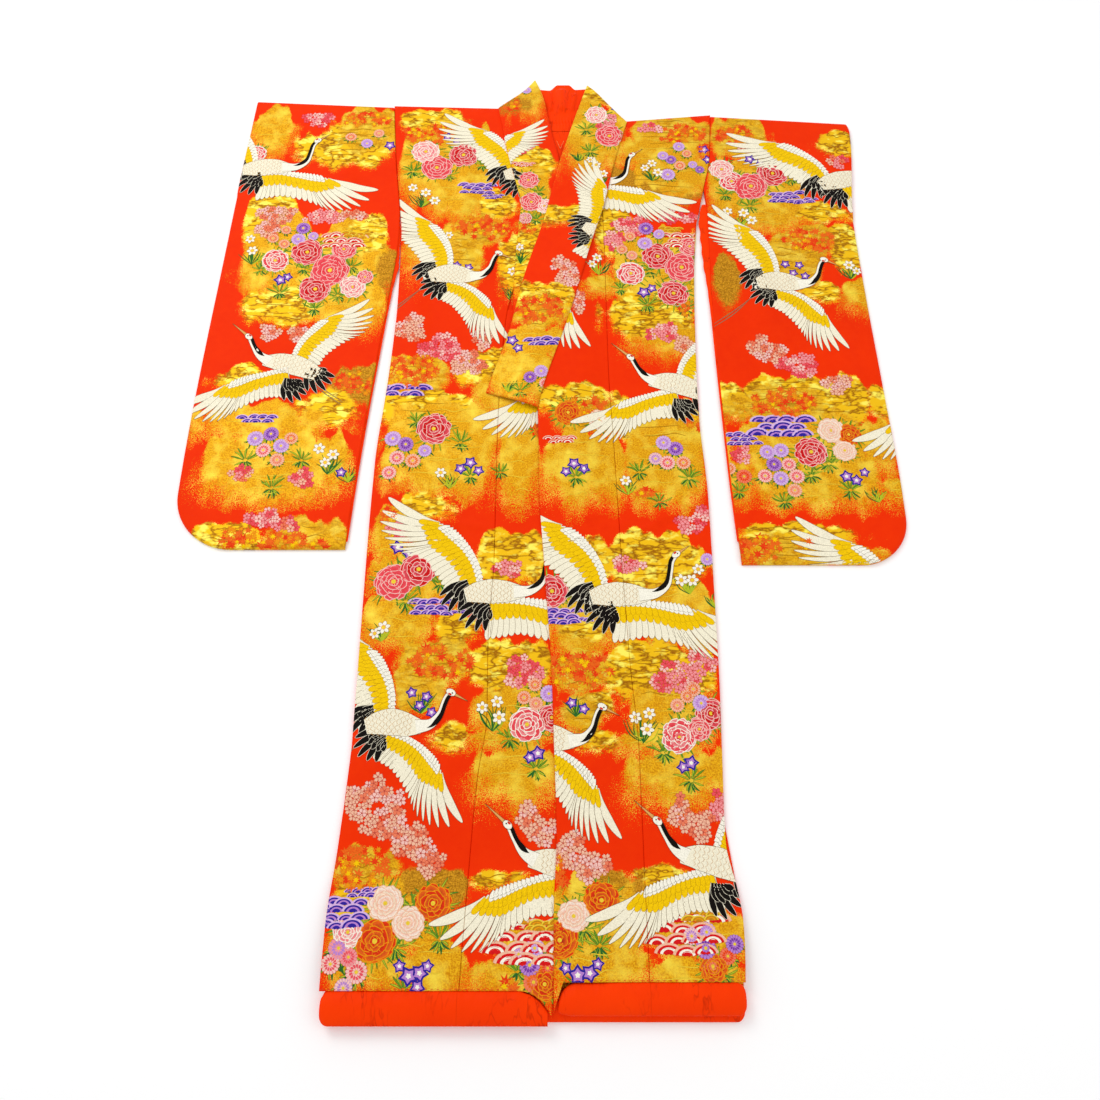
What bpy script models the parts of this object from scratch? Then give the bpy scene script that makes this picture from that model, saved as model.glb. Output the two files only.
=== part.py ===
"""Uchikake wedding kimono, laid flat on its back with its fronts closed left over right.

The garment lies in the XY plane with its hem towards -Y and its collar towards +Y.
The wearer's left is +X. Lengths in the tables are centimetres above the hem line and
centimetres from the middle; thicknesses are millimetres.
"""
import math

import bmesh
import bpy

CM = 0.01
MM = 0.001

# Thickness of the padded brocade, and of the lining alone
CLOTH = 3.5
LINING = 1.5
COLLAR = 4.2
GAP = 0.4

# Undersides of the layers, from the floor up
BACK_BASE = 0.0
FRONT_BASE = BACK_BASE + CLOTH + GAP
LAP_RISE = CLOTH + 3.0 * GAP
COLLAR_RISE = COLLAR + GAP
COLLAR_BASE = FRONT_BASE + CLOTH + GAP

# Hem rolls: the back one lies on the floor and the front ones lie on it
BACK_ROLL_HEIGHT = 12.0
FRONT_ROLL_HEIGHT = 14.5
FRONT_ROLL_BASE = BACK_ROLL_HEIGHT + GAP
# Share of a roll's height that its flat underside cuts off, and how high its ends sit
ROLL_FLAT = 0.14
ROLL_END_LIFT = 0.4
HEM_RISE = 13.5
HEM_RISE_FROM = 24.0
HEM_LINE_BACK = 4.6
HEM_LINE_LEFT = 5.4
HEM_LINE_RIGHT = 4.2
SEAM = 0.03

# Sleeve: two layers with the lining strip between them
SLEEVE_CLOTH = 3.0
SLEEVE_HOLLOW = 2.2
CUFF_OPENING = 26.0
SLEEVE_SEAM = 0.5

# Columns: height above the hem, distance from the middle
BODY_RIGHT_SIDE = ((0.0, -34.5), (13.3, -34.5), (26.1, -33.6), (42.2, -32.7), (76.5, -32.7),
                   (94.4, -32.5), (112.0, -31.2), (130.5, -30.4), (147.4, -30.6), (154.7, -31.3),
                   (168.0, -32.9), (183.4, -34.2))
BODY_LEFT_SIDE = ((0.0, 29.6), (14.1, 30.4), (18.3, 30.0), (26.1, 28.6), (40.7, 29.0),
                  (55.2, 29.4), (87.4, 29.6), (104.7, 28.9), (130.5, 29.5), (148.5, 30.7),
                  (154.0, 31.8), (161.0, 33.3), (168.0, 34.8), (180.7, 35.8))
CENTRE_SEAM = ((0.0, -2.4), (172.0, 1.0))
BACK_NECK_LEFT = CENTRE_SEAM + ((174.5, 4.5), (176.2, 9.8), (178.7, 15.3))
BACK_NECK_RIGHT = CENTRE_SEAM + ((175.5, -1.5), (178.5, -5.2), (182.6, -9.0))
CENTRE_GAP = 0.03
FRONT_INNER_RIGHT = ((0.0, -13.6), (22.6, -12.5), (36.1, -11.6), (46.3, -10.3), (59.7, -10.4),
                     (75.3, -9.7), (101.2, -9.6), (125.0, -8.6), (133.0, -7.4), (139.0, -4.8),
                     (156.0, -4.0), (167.0, -6.2), (182.6, -9.0))
FRONT_INNER_LEFT = ((0.0, 15.5), (40.7, 15.2), (55.2, 14.2), (76.7, 13.2), (99.7, 12.4),
                    (115.5, 11.8), (148.0, 11.6), (156.0, 11.3), (167.0, 12.3), (178.7, 15.3))

# Columns: share of the width from the inner edge to the armhole, height of the shoulder fold
SHOULDER_RIGHT = ((0.0, 182.6), (1.0, 183.4))
SHOULDER_LEFT = ((0.0, 178.7), (1.0, 180.7))

# Front edges of the overlaps; the right one lies under the left one
OKUMI_RIGHT_EDGE = ((0.0, 0.5), (5.0, 1.2), (14.0, 2.4), (40.0, 4.2), (104.0, 4.6),
                    (118.0, 0.0), (131.0, -6.6))
OKUMI_LEFT_EDGE = ((0.0, 0.9), (14.0, 0.9), (27.0, 1.4), (42.0, 1.0), (54.3, 0.6), (73.9, -0.7),
                   (87.7, -1.6), (105.6, -2.0), (108.2, -2.6), (123.3, 1.0), (130.5, 3.2),
                   (145.8, 7.1), (154.7, 9.6))
# Columns: share of the width from the left of the picture, height of the lower edge
OKUMI_RIGHT_FOOT = ((0.0, 4.2), (0.667, 4.2), (0.781, 3.7), (0.882, 2.7), (0.968, 1.3), (1.0, 0.4))
OKUMI_LEFT_FOOT = ((0.0, 1.2), (0.095, 5.4), (1.0, 5.4))

# Collars, as outer and inner edges
COLLAR_RIGHT_OUTER = ((108.0, -5.4), (120.0, -6.8), (133.0, -7.1), (138.9, -6.9), (144.5, -6.6),
                      (150.0, -6.2), (156.0, -5.8), (160.1, -6.6), (167.0, -8.2), (172.0, -9.3),
                      (177.2, -10.1), (182.8, -11.1))
COLLAR_RIGHT_INNER = ((108.0, 4.6), (120.0, 4.3), (150.0, 3.6), (160.0, 3.2), (168.0, 2.4),
                      (174.9, 0.9), (180.4, -0.1), (186.5, -1.2), (191.6, -3.0))
COLLAR_LEFT_OUTER = ((105.8, -1.9), (108.2, -1.5), (123.3, 3.0), (130.5, 5.1), (145.8, 9.1),
                     (154.7, 11.6), (167.0, 14.2), (178.7, 17.3))
COLLAR_LEFT_INNER = ((109.5, -12.0), (112.3, -11.2), (122.6, -8.0), (134.6, -5.4), (138.4, -4.5),
                     (151.8, -0.8), (160.1, 0.9), (168.6, 2.8), (179.5, 5.7), (189.9, 8.7))
# Columns: share of the width from the inner edge, height
COLLAR_JOIN = ((0.0, 134.7), (1.0, 129.6))
COLLAR_LEFT_END = ((0.0, 109.5), (1.0, 105.8))
COLLAR_LEFT_PEAK = ((0.0, 189.9), (0.25, 187.9), (0.6, 184.0), (1.0, 178.7))
COLLAR_RIGHT_PEAK = ((0.0, 182.8), (0.5, 187.3), (1.0, 191.6))

# Columns: height, underside at the inner edge, underside at the outer edge
COLLAR_LEFT_LEVELS = ((105.0, 8.2, 17.2), (112.0, 9.0, 17.2), (122.0, 12.6, 17.2),
                      (140.0, 12.8, 17.2), (150.0, 12.8, 15.0), (160.0, 12.8, 10.0),
                      (168.0, 12.6, 8.2), (176.0, 8.4, 7.9), (184.0, 7.9, 7.9), (190.0, 5.0, 7.9))

SLEEVE_RIGHT_OUTER = ((77.0, -68.4), (88.8, -68.6), (150.0, -66.6), (185.1, -64.8))
SLEEVE_RIGHT_OPEN_EDGE = ((76.6, -36.8), (97.2, -35.4), (132.0, -32.3), (147.4, -31.1))
SLEEVE_LEFT_OUTER = ((74.0, 65.5), (88.2, 65.7), (110.3, 65.1), (133.0, 64.4), (150.5, 64.1),
                     (176.2, 66.1), (178.5, 65.6))
SLEEVE_LEFT_OPEN_EDGE = ((73.4, 34.9), (94.7, 33.9), (133.0, 33.1), (141.3, 33.3), (154.0, 33.5))
# The armhole seams run up from these heights
ARMHOLE_RIGHT_FOOT = 154.0
ARMHOLE_LEFT_FOOT = 160.0
ARMHOLE_SEAM = 0.05
ARMHOLE_ROWS_FROM = 0.8
SLEEVE_RIGHT_CORNER = 11.0
SLEEVE_LEFT_CORNER = 9.0
# How far the lining strip reaches past the brocade at the open edge, and under it
LINING_CLEAR = 0.25
LINING_HIDDEN = 3.0
LINING_FOOT = 78.5
LINING_TOP = 156.0
# Columns: height above the hem, how far the strip shows beside the brocade
LINING_SHOWS_LEFT = ((75.0, 0.3), (125.0, 0.4), (134.0, 0.7), (141.0, 1.4), (154.0, 2.0))
LINING_SHOWS_RIGHT = ((75.0, 0.3), (125.0, 0.35), (134.0, 0.5), (147.0, 1.2), (154.0, 0.6))

# Largest folds of the front layer. Columns: from x, y, to x, y, half width (cm), height (mm)
FRONT_FOLDS = ((29.0, 87.0, 17.0, 83.0, 2.6, 5.0), (16.0, 82.0, 8.0, 80.0, 2.2, 3.0),
               (-30.0, 84.5, -16.0, 81.0, 2.6, 3.5), (25.0, 62.0, 24.0, 32.0, 4.0, 5.0),
               (25.0, 132.0, 24.5, 98.0, 4.0, 5.0), (-27.0, 140.0, -26.5, 96.0, 4.0, 5.5),
               (-28.0, 74.0, -28.0, 34.0, 4.5, 5.5), (20.0, 170.0, 25.0, 146.0, 3.0, 4.0),
               (-17.0, 174.0, -19.0, 140.0, 3.2, 4.5), (-18.0, 58.0, -17.0, 30.0, 3.0, 3.5),
               (20.0, 24.0, 19.0, 50.0, 3.0, 3.5))
SLEEVE_RIGHT_FOLDS = ((-44.0, 176.0, -42.5, 120.0, 4.0, 6.0), (-58.0, 172.0, -59.0, 110.0, 4.5, 5.5),
                      (-52.0, 118.0, -51.0, 88.0, 4.0, 5.0), (-63.0, 104.0, -62.0, 92.0, 3.0, 3.5))
SLEEVE_LEFT_FOLDS = ((44.0, 172.0, 43.0, 118.0, 4.0, 6.0), (57.0, 170.0, 57.5, 108.0, 4.5, 5.5),
                     (50.0, 114.0, 51.0, 86.0, 4.0, 5.0), (40.0, 106.0, 40.5, 86.0, 3.0, 3.5))
NECK_FOLDS = ((3.0, 189.6, 2.9, 181.5, 1.8, 8.0), (0.1, 188.5, 0.5, 182.0, 0.9, 4.5),
              (6.0, 188.0, 5.0, 182.0, 0.9, 4.5))

# Rows of points up the fronts, as shares of the length, so that seams match point for point
FRONT_ROWS = (0.0, 0.03, 0.06, 0.09, 0.12, 0.16, 0.2, 0.24, 0.28, 0.32, 0.36, 0.4, 0.425, 0.45,
              0.475, 0.5, 0.54, 0.58, 0.62, 0.66, 0.7, 0.75, 0.8, 0.85, 0.89, 0.93, 0.97, 0.995)
OKUMI_LEFT_TIP = 0.85
OKUMI_RIGHT_TIP = 0.7

COLOURS = {"brocade": (0.86, 0.05, 0.01, 1.0), "lining": (0.93, 0.06, 0.005, 1.0)}


def clear_scene():
    for old in list(bpy.data.objects):
        bpy.data.objects.remove(old, do_unlink=True)


def make_material(name):
    material = bpy.data.materials.new(name)
    material.use_nodes = True
    shader = material.node_tree.nodes["Principled BSDF"]
    shader.inputs["Base Color"].default_value = COLOURS[name]
    shader.inputs["Roughness"].default_value = 0.5
    shader.inputs["Metallic"].default_value = 0.0
    return material


def mix(a, b, share):
    return a + (b - a) * share


def smooth(value):
    value = min(1.0, max(0.0, value))
    return value * value * (3.0 - 2.0 * value)


def read_table(table, key, column=1):
    """Value of a column at a key, on a smooth curve through the table's rows."""
    if key <= table[0][0]:
        return table[0][column]
    if key >= table[-1][0]:
        return table[-1][column]
    last = len(table) - 1
    row = max(i for i in range(last) if table[i][0] <= key)
    step = table[row + 1][0] - table[row][0]
    share = (key - table[row][0]) / step

    def slope(i):
        if i in (0, last):
            return None
        before = (table[i][column] - table[i - 1][column]) / (table[i][0] - table[i - 1][0])
        after = (table[i + 1][column] - table[i][column]) / (table[i + 1][0] - table[i][0])
        return 0.0 if before * after <= 0.0 else 2.0 * before * after / (before + after)

    rise = table[row + 1][column] - table[row][column]
    start = slope(row)
    end = slope(row + 1)
    start = rise if start is None else start * step
    end = rise if end is None else end * step
    square = share * share
    cube = square * share
    return ((2 * cube - 3 * square + 1) * table[row][column] + (cube - 2 * square + share) * start
            + (3 * square - 2 * cube) * table[row + 1][column] + (cube - square) * end)


def read_straight(table, key):
    """Value at a key, on straight lines between the table's rows."""
    for (low, start), (high, end) in zip(table, table[1:]):
        if key <= high:
            return mix(start, end, max(0.0, (key - low) / (high - low)))
    return table[-1][1]


def shifted(table, amount):
    """The same edge, moved sideways."""
    return tuple((y, x + amount) for y, x in table)


def fold_height(folds, x, y):
    """Height in mm that the folds of a table add at a point."""
    height = 0.0
    for x0, y0, x1, y1, half, tall in folds:
        length = math.hypot(x1 - x0, y1 - y0)
        along = ((x - x0) * (x1 - x0) + (y - y0) * (y1 - y0)) / length
        across = abs((x - x0) * (y1 - y0) - (y - y0) * (x1 - x0)) / length
        end = min(along, length - along) / half
        if across < half and end > 0.0:
            height += tall * (1.0 - (across / half) ** 2) ** 2 * smooth(end)
    return height


def hem_rise(y):
    """The fronts climb onto the hem rolls."""
    return HEM_RISE * smooth((HEM_RISE_FROM - y) / (HEM_RISE_FROM - HEM_LINE_LEFT))


def front_base(x, y):
    """Underside of the fronts where they lie on the back."""
    return FRONT_BASE + hem_rise(y) + fold_height(FRONT_FOLDS, x, y)


def overlap_base(x, y):
    """Underside of the left overlap, which climbs onto the right one and its collar."""
    on_overlap = smooth((12.0 - x) / 6.0)
    on_collar = smooth((y - 96.0) / 8.0)
    return front_base(x, y) + on_overlap * (LAP_RISE + COLLAR_RISE * on_collar)


def collar_right_base(x, y):
    """The right collar lies on the front, and comes down to the back collar at its peak."""
    return mix(COLLAR_BASE, 4.5, smooth((y - 184.0) / 5.0))


def collar_left_base(x, y):
    """The left collar lies on the right one and on the left front."""
    inner = read_table(COLLAR_LEFT_INNER, y)
    outer = read_table(COLLAR_LEFT_OUTER, y)
    share = smooth((x - inner) / (outer - inner) / 0.7)
    return mix(read_table(COLLAR_LEFT_LEVELS, y, 1), read_table(COLLAR_LEFT_LEVELS, y, 2), share)


def neck_base(x, y):
    return BACK_BASE + fold_height(NECK_FOLDS, x, y)


def even(count):
    return [i / count for i in range(count + 1)]


def place(x, y, z):
    return (x * CM, y * CM, z * MM)


def add_object(name, material, verts, faces):
    mesh = bpy.data.meshes.new(name)
    mesh.from_pydata(verts, [], faces)
    work = bmesh.new()
    work.from_mesh(mesh)
    bmesh.ops.recalc_face_normals(work, faces=work.faces)
    bmesh.ops.triangulate(work, faces=work.faces)
    work.to_mesh(mesh)
    work.free()
    mesh.materials.append(material)
    mesh.shade_smooth()
    mesh.set_sharp_from_angle(angle=math.radians(50.0))
    thing = bpy.data.objects.new(name, mesh)
    bpy.context.scene.collection.objects.link(thing)
    return thing


def grid_faces(rows, columns, first=0):
    faces = []
    for row in range(rows - 1):
        for column in range(columns - 1):
            corner = first + row * columns + column
            faces.append((corner, corner + 1, corner + columns + 1, corner + columns))
    return faces


def border(rows, columns):
    """Places of a grid's outer points, in order around it."""
    ring = [(0, column) for column in range(columns)]
    ring += [(row, columns - 1) for row in range(1, rows)]
    ring += [(rows - 1, column) for column in range(columns - 2, -1, -1)]
    ring += [(row, 0) for row in range(rows - 2, 0, -1)]
    return ring


def add_wall(name, material, outside, inside):
    """Closed wall between two grids of points, with a rim all round."""
    rows = len(outside)
    columns = len(outside[0])
    verts = [point for row in outside for point in row] + [point for row in inside for point in row]
    shift = rows * columns
    faces = grid_faces(rows, columns) + [face[::-1] for face in grid_faces(rows, columns, shift)]
    ring = [row * columns + column for row, column in border(rows, columns)]
    for here, after in zip(ring, ring[1:] + ring[:1]):
        faces.append((here, here + shift, after + shift, after))
    return add_object(name, material, verts, faces)


def panel_point(left, right, foot, head, across, along):
    y = mix(read_table(foot, across), read_table(head, across), along)
    return mix(read_table(left, y), read_table(right, y), across), y


def add_panel(name, material, edges, columns, rows, base, thick):
    """Panel between a left and a right edge, lying on a base surface."""
    left, right, foot, head = edges
    outside = []
    inside = []
    for along in rows:
        points = [panel_point(left, right, foot, head, across, along) for across in columns]
        inside.append([place(x, y, base(x, y)) for x, y in points])
        outside.append([place(x, y, base(x, y) + thick) for x, y in points])
    return add_wall(name, material, outside, inside)


def add_body(name, material, side, back_inner, front_inner, shoulder, hem):
    """One cloth from the back hem over the shoulder fold to the front hem."""
    columns = (0.0, 0.1, 0.24, 0.4, 0.55, 0.7, 0.84, 0.94, 1.0)
    back_rows = (0.0, 0.12, 0.25, 0.4, 0.55, 0.7, 0.8, 0.85, 0.89, 0.93, 0.955, 0.97, 0.985)
    fold_turns = (-60.0, -20.0, 20.0, 60.0)
    middle = (CLOTH + GAP / 2.0)
    outside = []
    inside = []
    for along in back_rows:
        ys = [mix(HEM_LINE_BACK, read_table(shoulder, across), along) for across in columns]
        xs = [mix(read_straight(back_inner, y), read_table(side, y), s) for y, s in zip(ys, columns)]
        outside.append([place(x, y, BACK_BASE) for x, y in zip(xs, ys)])
        inside.append([place(x, y, BACK_BASE + CLOTH) for x, y in zip(xs, ys)])
    for turn in fold_turns:
        reach = math.cos(math.radians(turn))
        lift = math.sin(math.radians(turn))
        outer_row = []
        inner_row = []
        for across in columns:
            y = read_table(shoulder, across)
            x = mix(read_table(front_inner, y), read_table(side, y), across)
            small = GAP / 2.0
            outer_row.append(place(x, y + middle * reach * MM / CM, middle + middle * lift))
            inner_row.append(place(x, y + small * reach * MM / CM, middle + small * lift))
        outside.append(outer_row)
        inside.append(inner_row)
    for along in reversed(FRONT_ROWS):
        ys = [mix(hem, read_table(shoulder, across), along) for across in columns]
        xs = [mix(read_table(front_inner, y), read_table(side, y), s) for y, s in zip(ys, columns)]
        inside.append([place(x, y, front_base(x, y)) for x, y in zip(xs, ys)])
        outside.append([place(x, y, front_base(x, y) + CLOTH) for x, y in zip(xs, ys)])
    return add_wall(name, material, outside, inside)


def sleeve_outer(table, corner, foot, y):
    """Outer edge of a sleeve, with its lower corner rounded."""
    line = read_table(table, y)
    below = min(corner, max(0.0, foot + corner - y))
    inward = corner - math.sqrt(corner * corner - below * below)
    return line - math.copysign(inward, line)


def sleeve_edge(open_edge, body_side, armhole_foot):
    """Edge beside the body: open below, and along the armhole seam above."""
    seam = math.copysign(ARMHOLE_SEAM, open_edge[0][1])
    start = (armhole_foot, read_table(body_side, armhole_foot) + seam)
    below = open_edge + (start,)

    def edge(y):
        return read_table(body_side, y) + seam if y >= armhole_foot else read_table(below, y)

    return edge


def add_sleeve(name, material, inner, outer, corner, folds, shape):
    """Bag of one cloth: folded at the top, closed at its foot and below the cuff opening,
    open at the cuff and all along the side of the body."""
    columns = (0.0, 0.08, 0.2, 0.34, 0.48, 0.62, 0.76, 0.88, 0.96, 1.0)
    turns = (0, 22, 42, 60, 76, 90)
    hem, shoulder = shape
    foot = outer[0][0]
    top_inner = shoulder[-1][1]
    top_outer = outer[-1][0]
    length = top_inner - foot
    armhole_rows = [mix(hem, top_inner, row) for row in FRONT_ROWS if row >= ARMHOLE_ROWS_FROM]
    heights = [foot + corner * (1.0 - math.cos(math.radians(turn))) for turn in turns]
    free = armhole_rows[0] - heights[-1]
    heights += [heights[-1] + free * share for share in even(8)[1:]] + armhole_rows[1:-1] + [top_inner]
    shares = [(y - foot) / length for y in heights]
    cuff_from = 1.0 - CUFF_OPENING / length

    def plan(across, along):
        y = foot + along * (mix(top_inner, top_outer, across) - foot)
        return mix(inner(y), sleeve_outer(outer, corner, foot, y), across), y

    last_row = len(shares) - 1
    last_column = len(columns) - 1
    width = abs(outer[0][1] - inner(foot))
    inset = SLEEVE_SEAM / width
    rise = SLEEVE_SEAM / length

    def hollow_plan(row, column):
        along = min(1.0 - rise, max(rise, shares[row]))
        across = columns[column]
        if column == last_column and shares[row] < cuff_from:
            across = 1.0 - inset
        return plan(across, along)

    def shut(here, after):
        if here[0] == after[0]:
            return here[0] in (0, last_row)
        return here[1] == last_column and min(shares[here[0]], shares[after[0]]) < cuff_from

    ring = border(last_row + 1, last_column + 1)
    pairs = list(zip(ring, ring[1:] + ring[:1]))
    merged = {place_ for pair in pairs if shut(*pair) for place_ in pair}
    verts = []
    index = {}
    for layer in range(4):
        for row in range(last_row + 1):
            for column in range(last_column + 1):
                spot = (row, column)
                if layer == 2 and spot in merged:
                    index[(2,) + spot] = index[(1,) + spot]
                    continue
                flat = plan(columns[column], shares[row]) if layer in (0, 3) else hollow_plan(row, column)
                fold = fold_height(folds, *flat)
                level = (0.0, SLEEVE_CLOTH, SLEEVE_CLOTH + SLEEVE_HOLLOW + fold,
                         2.0 * SLEEVE_CLOTH + SLEEVE_HOLLOW + fold)[layer]
                if layer == 1 and spot in merged:
                    level += SLEEVE_HOLLOW / 2.0
                index[(layer,) + spot] = len(verts)
                verts.append(place(*flat, level))
    faces = []
    for layer in range(4):
        for row in range(last_row):
            for column in range(last_column):
                loop = ((row, column), (row, column + 1), (row + 1, column + 1), (row + 1, column))
                faces.append(tuple(index[(layer,) + spot] for spot in loop))
    for here, after in pairs:
        low, low_in, high_in, high = (index[(layer,) + here] for layer in range(4))
        low2, low_in2, high_in2, high2 = (index[(layer,) + after] for layer in range(4))
        if shut(here, after):
            faces.append((low, low2, high2, high))
        else:
            faces.append((low, low2, low_in2, low_in))
            faces.append((high_in, high_in2, high2, high))
    for before, (here, after) in zip(pairs[-1:] + pairs[:-1], pairs):
        if shut(*before) != shut(here, after):
            faces.append((index[(0,) + here], index[(1,) + here], index[(3,) + here]))
    return add_object(name, material, verts, faces)


def add_sleeve_lining(name, material, inner, body_side, shows_table):
    """Strip of lining that shows along the open edge, between the sleeve's layers."""
    side = math.copysign(1.0, inner(LINING_TOP))
    count = 14
    outside = []
    inside = []
    level = SLEEVE_CLOTH + GAP
    for i in range(count + 1):
        y = mix(LINING_FOOT, LINING_TOP, i / count)
        edge = inner(y)
        room = abs(edge - read_table(body_side, y)) - LINING_CLEAR
        shows = min(room, read_table(shows_table, y))
        xs = (edge - side * shows, edge + side * 0.8, edge + side * LINING_HIDDEN)
        inside.append([place(x, y, level) for x in xs])
        outside.append([place(x, y, level + LINING) for x in xs])
    return add_wall(name, material, outside, inside)


def add_roll(name, material, stations, base, height):
    """Padded hem roll along X. Stations: x, lower edge, upper edge, share of the height."""
    sides = 12
    verts = []
    for x, low, high, share in stations:
        centre = (low + high) / 2.0
        half = (high - low) / 2.0
        for i in range(sides):
            turn = 2.0 * math.pi * i / sides
            up = max(0.0, 0.5 + 0.5 * math.sin(turn) - ROLL_FLAT) / (1.0 - ROLL_FLAT)
            lift = height * ((1.0 - share) * ROLL_END_LIFT + up * share)
            verts.append(place(x, centre + half * math.cos(turn), base + lift))
    faces = []
    for ring in range(len(stations) - 1):
        for i in range(sides):
            after = (i + 1) % sides
            faces.append((ring * sides + i, ring * sides + after,
                          (ring + 1) * sides + after, (ring + 1) * sides + i))
    faces.append(tuple(range(sides)))
    faces.append(tuple((len(stations) - 1) * sides + i for i in range(sides)))
    return add_object(name, material, verts, faces)


def roll_stations(start, end, low, high, count, start_round=0.0, end_round=0.0):
    """Rows of a roll, with rounded ends where a rounding length is given."""
    rows = []
    ends = (0.0, 0.12, 0.4, 1.0)
    xs = [start + start_round * share for share in (ends if start_round else (0.0,))]
    body_end = end + (-end_round if end > start else end_round)
    xs += [mix(xs[-1], body_end, (i + 1) / count) for i in range(count)]
    xs += [body_end + (end - body_end) * (1.0 - share) for share in ends[-2::-1]] if end_round else []
    half = (high - low) / 2.0
    for x in xs:
        near = min(abs(x - start) / start_round if start_round else 1.0,
                   abs(end - x) / end_round if end_round else 1.0, 1.0)
        share = 0.35 + 0.65 * math.sqrt(1.0 - (1.0 - near) ** 2)
        share = 1.0 if near >= 1.0 else share
        rows.append((x, low + half * (1.0 - share), high - half * (1.0 - share), share))
    return rows


def centre_on_floor(things):
    """Put the origin under the middle of the garment's box."""
    points = [vertex.co for thing in things for vertex in thing.data.vertices]
    middle_x = (min(p.x for p in points) + max(p.x for p in points)) / 2.0
    middle_y = (min(p.y for p in points) + max(p.y for p in points)) / 2.0
    for thing in things:
        for vertex in thing.data.vertices:
            vertex.co.x -= middle_x
            vertex.co.y -= middle_y


def build():
    clear_scene()
    brocade = make_material("brocade")
    lining = make_material("lining")
    things = []

    things.append(add_body("body_left", brocade, BODY_LEFT_SIDE,
                           shifted(BACK_NECK_LEFT, CENTRE_GAP), FRONT_INNER_LEFT,
                           SHOULDER_LEFT, HEM_LINE_LEFT))
    things.append(add_body("body_right", brocade, BODY_RIGHT_SIDE,
                           shifted(BACK_NECK_RIGHT, -CENTRE_GAP), FRONT_INNER_RIGHT,
                           SHOULDER_RIGHT, HEM_LINE_RIGHT))

    tip_left = mix(HEM_LINE_LEFT, SHOULDER_LEFT[0][1], OKUMI_LEFT_TIP)
    tip_right = mix(HEM_LINE_RIGHT, SHOULDER_RIGHT[0][1], OKUMI_RIGHT_TIP)
    rows_left = [row / OKUMI_LEFT_TIP for row in FRONT_ROWS if row <= OKUMI_LEFT_TIP]
    rows_right = [row / OKUMI_RIGHT_TIP for row in FRONT_ROWS if row <= OKUMI_RIGHT_TIP]
    seam_left = shifted(FRONT_INNER_LEFT, -SEAM)
    seam_right = shifted(FRONT_INNER_RIGHT, SEAM)
    things.append(add_panel("okumi_left", brocade,
                            (OKUMI_LEFT_EDGE, seam_left, OKUMI_LEFT_FOOT, ((0.0, tip_left),)),
                            (0.0, 0.095, 0.25, 0.42, 0.6, 0.8, 1.0), rows_left, overlap_base, CLOTH))
    things.append(add_panel("okumi_right", brocade,
                            (seam_right, OKUMI_RIGHT_EDGE, OKUMI_RIGHT_FOOT, ((0.0, tip_right),)),
                            (0.0, 0.22, 0.44, 0.667, 0.781, 0.882, 0.968, 1.0), rows_right,
                            front_base, CLOTH))

    band = (0.0, 0.12, 0.35, 0.6, 0.85, 1.0)
    join_above = tuple((share, y + SEAM) for share, y in COLLAR_JOIN)
    join_below = tuple((share, y - SEAM) for share, y in COLLAR_JOIN)
    things.append(add_panel("collar_left", brocade,
                            (COLLAR_LEFT_INNER, COLLAR_LEFT_OUTER, join_above, COLLAR_LEFT_PEAK),
                            band, even(14), collar_left_base, COLLAR))
    things.append(add_panel("collar_left_end", brocade,
                            (COLLAR_LEFT_INNER, COLLAR_LEFT_OUTER, COLLAR_LEFT_END, join_below),
                            band, even(7), collar_left_base, COLLAR))
    things.append(add_panel("collar_right", brocade,
                            (COLLAR_RIGHT_OUTER, COLLAR_RIGHT_INNER, ((0.0, 108.0),),
                             COLLAR_RIGHT_PEAK),
                            band, even(20), collar_right_base, COLLAR))
    things.append(add_panel("collar_back", lining,
                            (((176.6, -2.6), (190.0, -3.4)), ((176.6, 8.0), (190.0, 8.8)),
                             ((0.0, 176.6),),
                             ((0.0, 189.0), (0.3, 188.6), (0.45, 190.2), (0.65, 190.2),
                              (0.78, 188.8), (1.0, 189.0))),
                            even(14), even(7), neck_base, CLOTH + GAP))
    things.append(add_panel("neck_lining", lining,
                            (((150.0, -3.6), (156.0, -3.7), (167.0, -5.8), (176.3, -7.2)),
                             ((150.0, 9.6), (156.0, 10.8), (167.0, 11.8), (176.3, 14.0)),
                             ((0.0, 150.0),), ((0.0, 176.3),)),
                            even(5), even(6), lambda x, y: FRONT_BASE, LINING))

    edge_left = sleeve_edge(SLEEVE_LEFT_OPEN_EDGE, BODY_LEFT_SIDE, ARMHOLE_LEFT_FOOT)
    edge_right = sleeve_edge(SLEEVE_RIGHT_OPEN_EDGE, BODY_RIGHT_SIDE, ARMHOLE_RIGHT_FOOT)
    things.append(add_sleeve("sleeve_left", brocade, edge_left, SLEEVE_LEFT_OUTER,
                             SLEEVE_LEFT_CORNER, SLEEVE_LEFT_FOLDS,
                             (HEM_LINE_LEFT, SHOULDER_LEFT)))
    things.append(add_sleeve("sleeve_right", brocade, edge_right, SLEEVE_RIGHT_OUTER,
                             SLEEVE_RIGHT_CORNER, SLEEVE_RIGHT_FOLDS,
                             (HEM_LINE_RIGHT, SHOULDER_RIGHT)))
    things.append(add_sleeve_lining("sleeve_lining_left", lining, edge_left, BODY_LEFT_SIDE,
                                    LINING_SHOWS_LEFT))
    things.append(add_sleeve_lining("sleeve_lining_right", lining, edge_right, BODY_RIGHT_SIDE,
                                    LINING_SHOWS_RIGHT))

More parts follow.
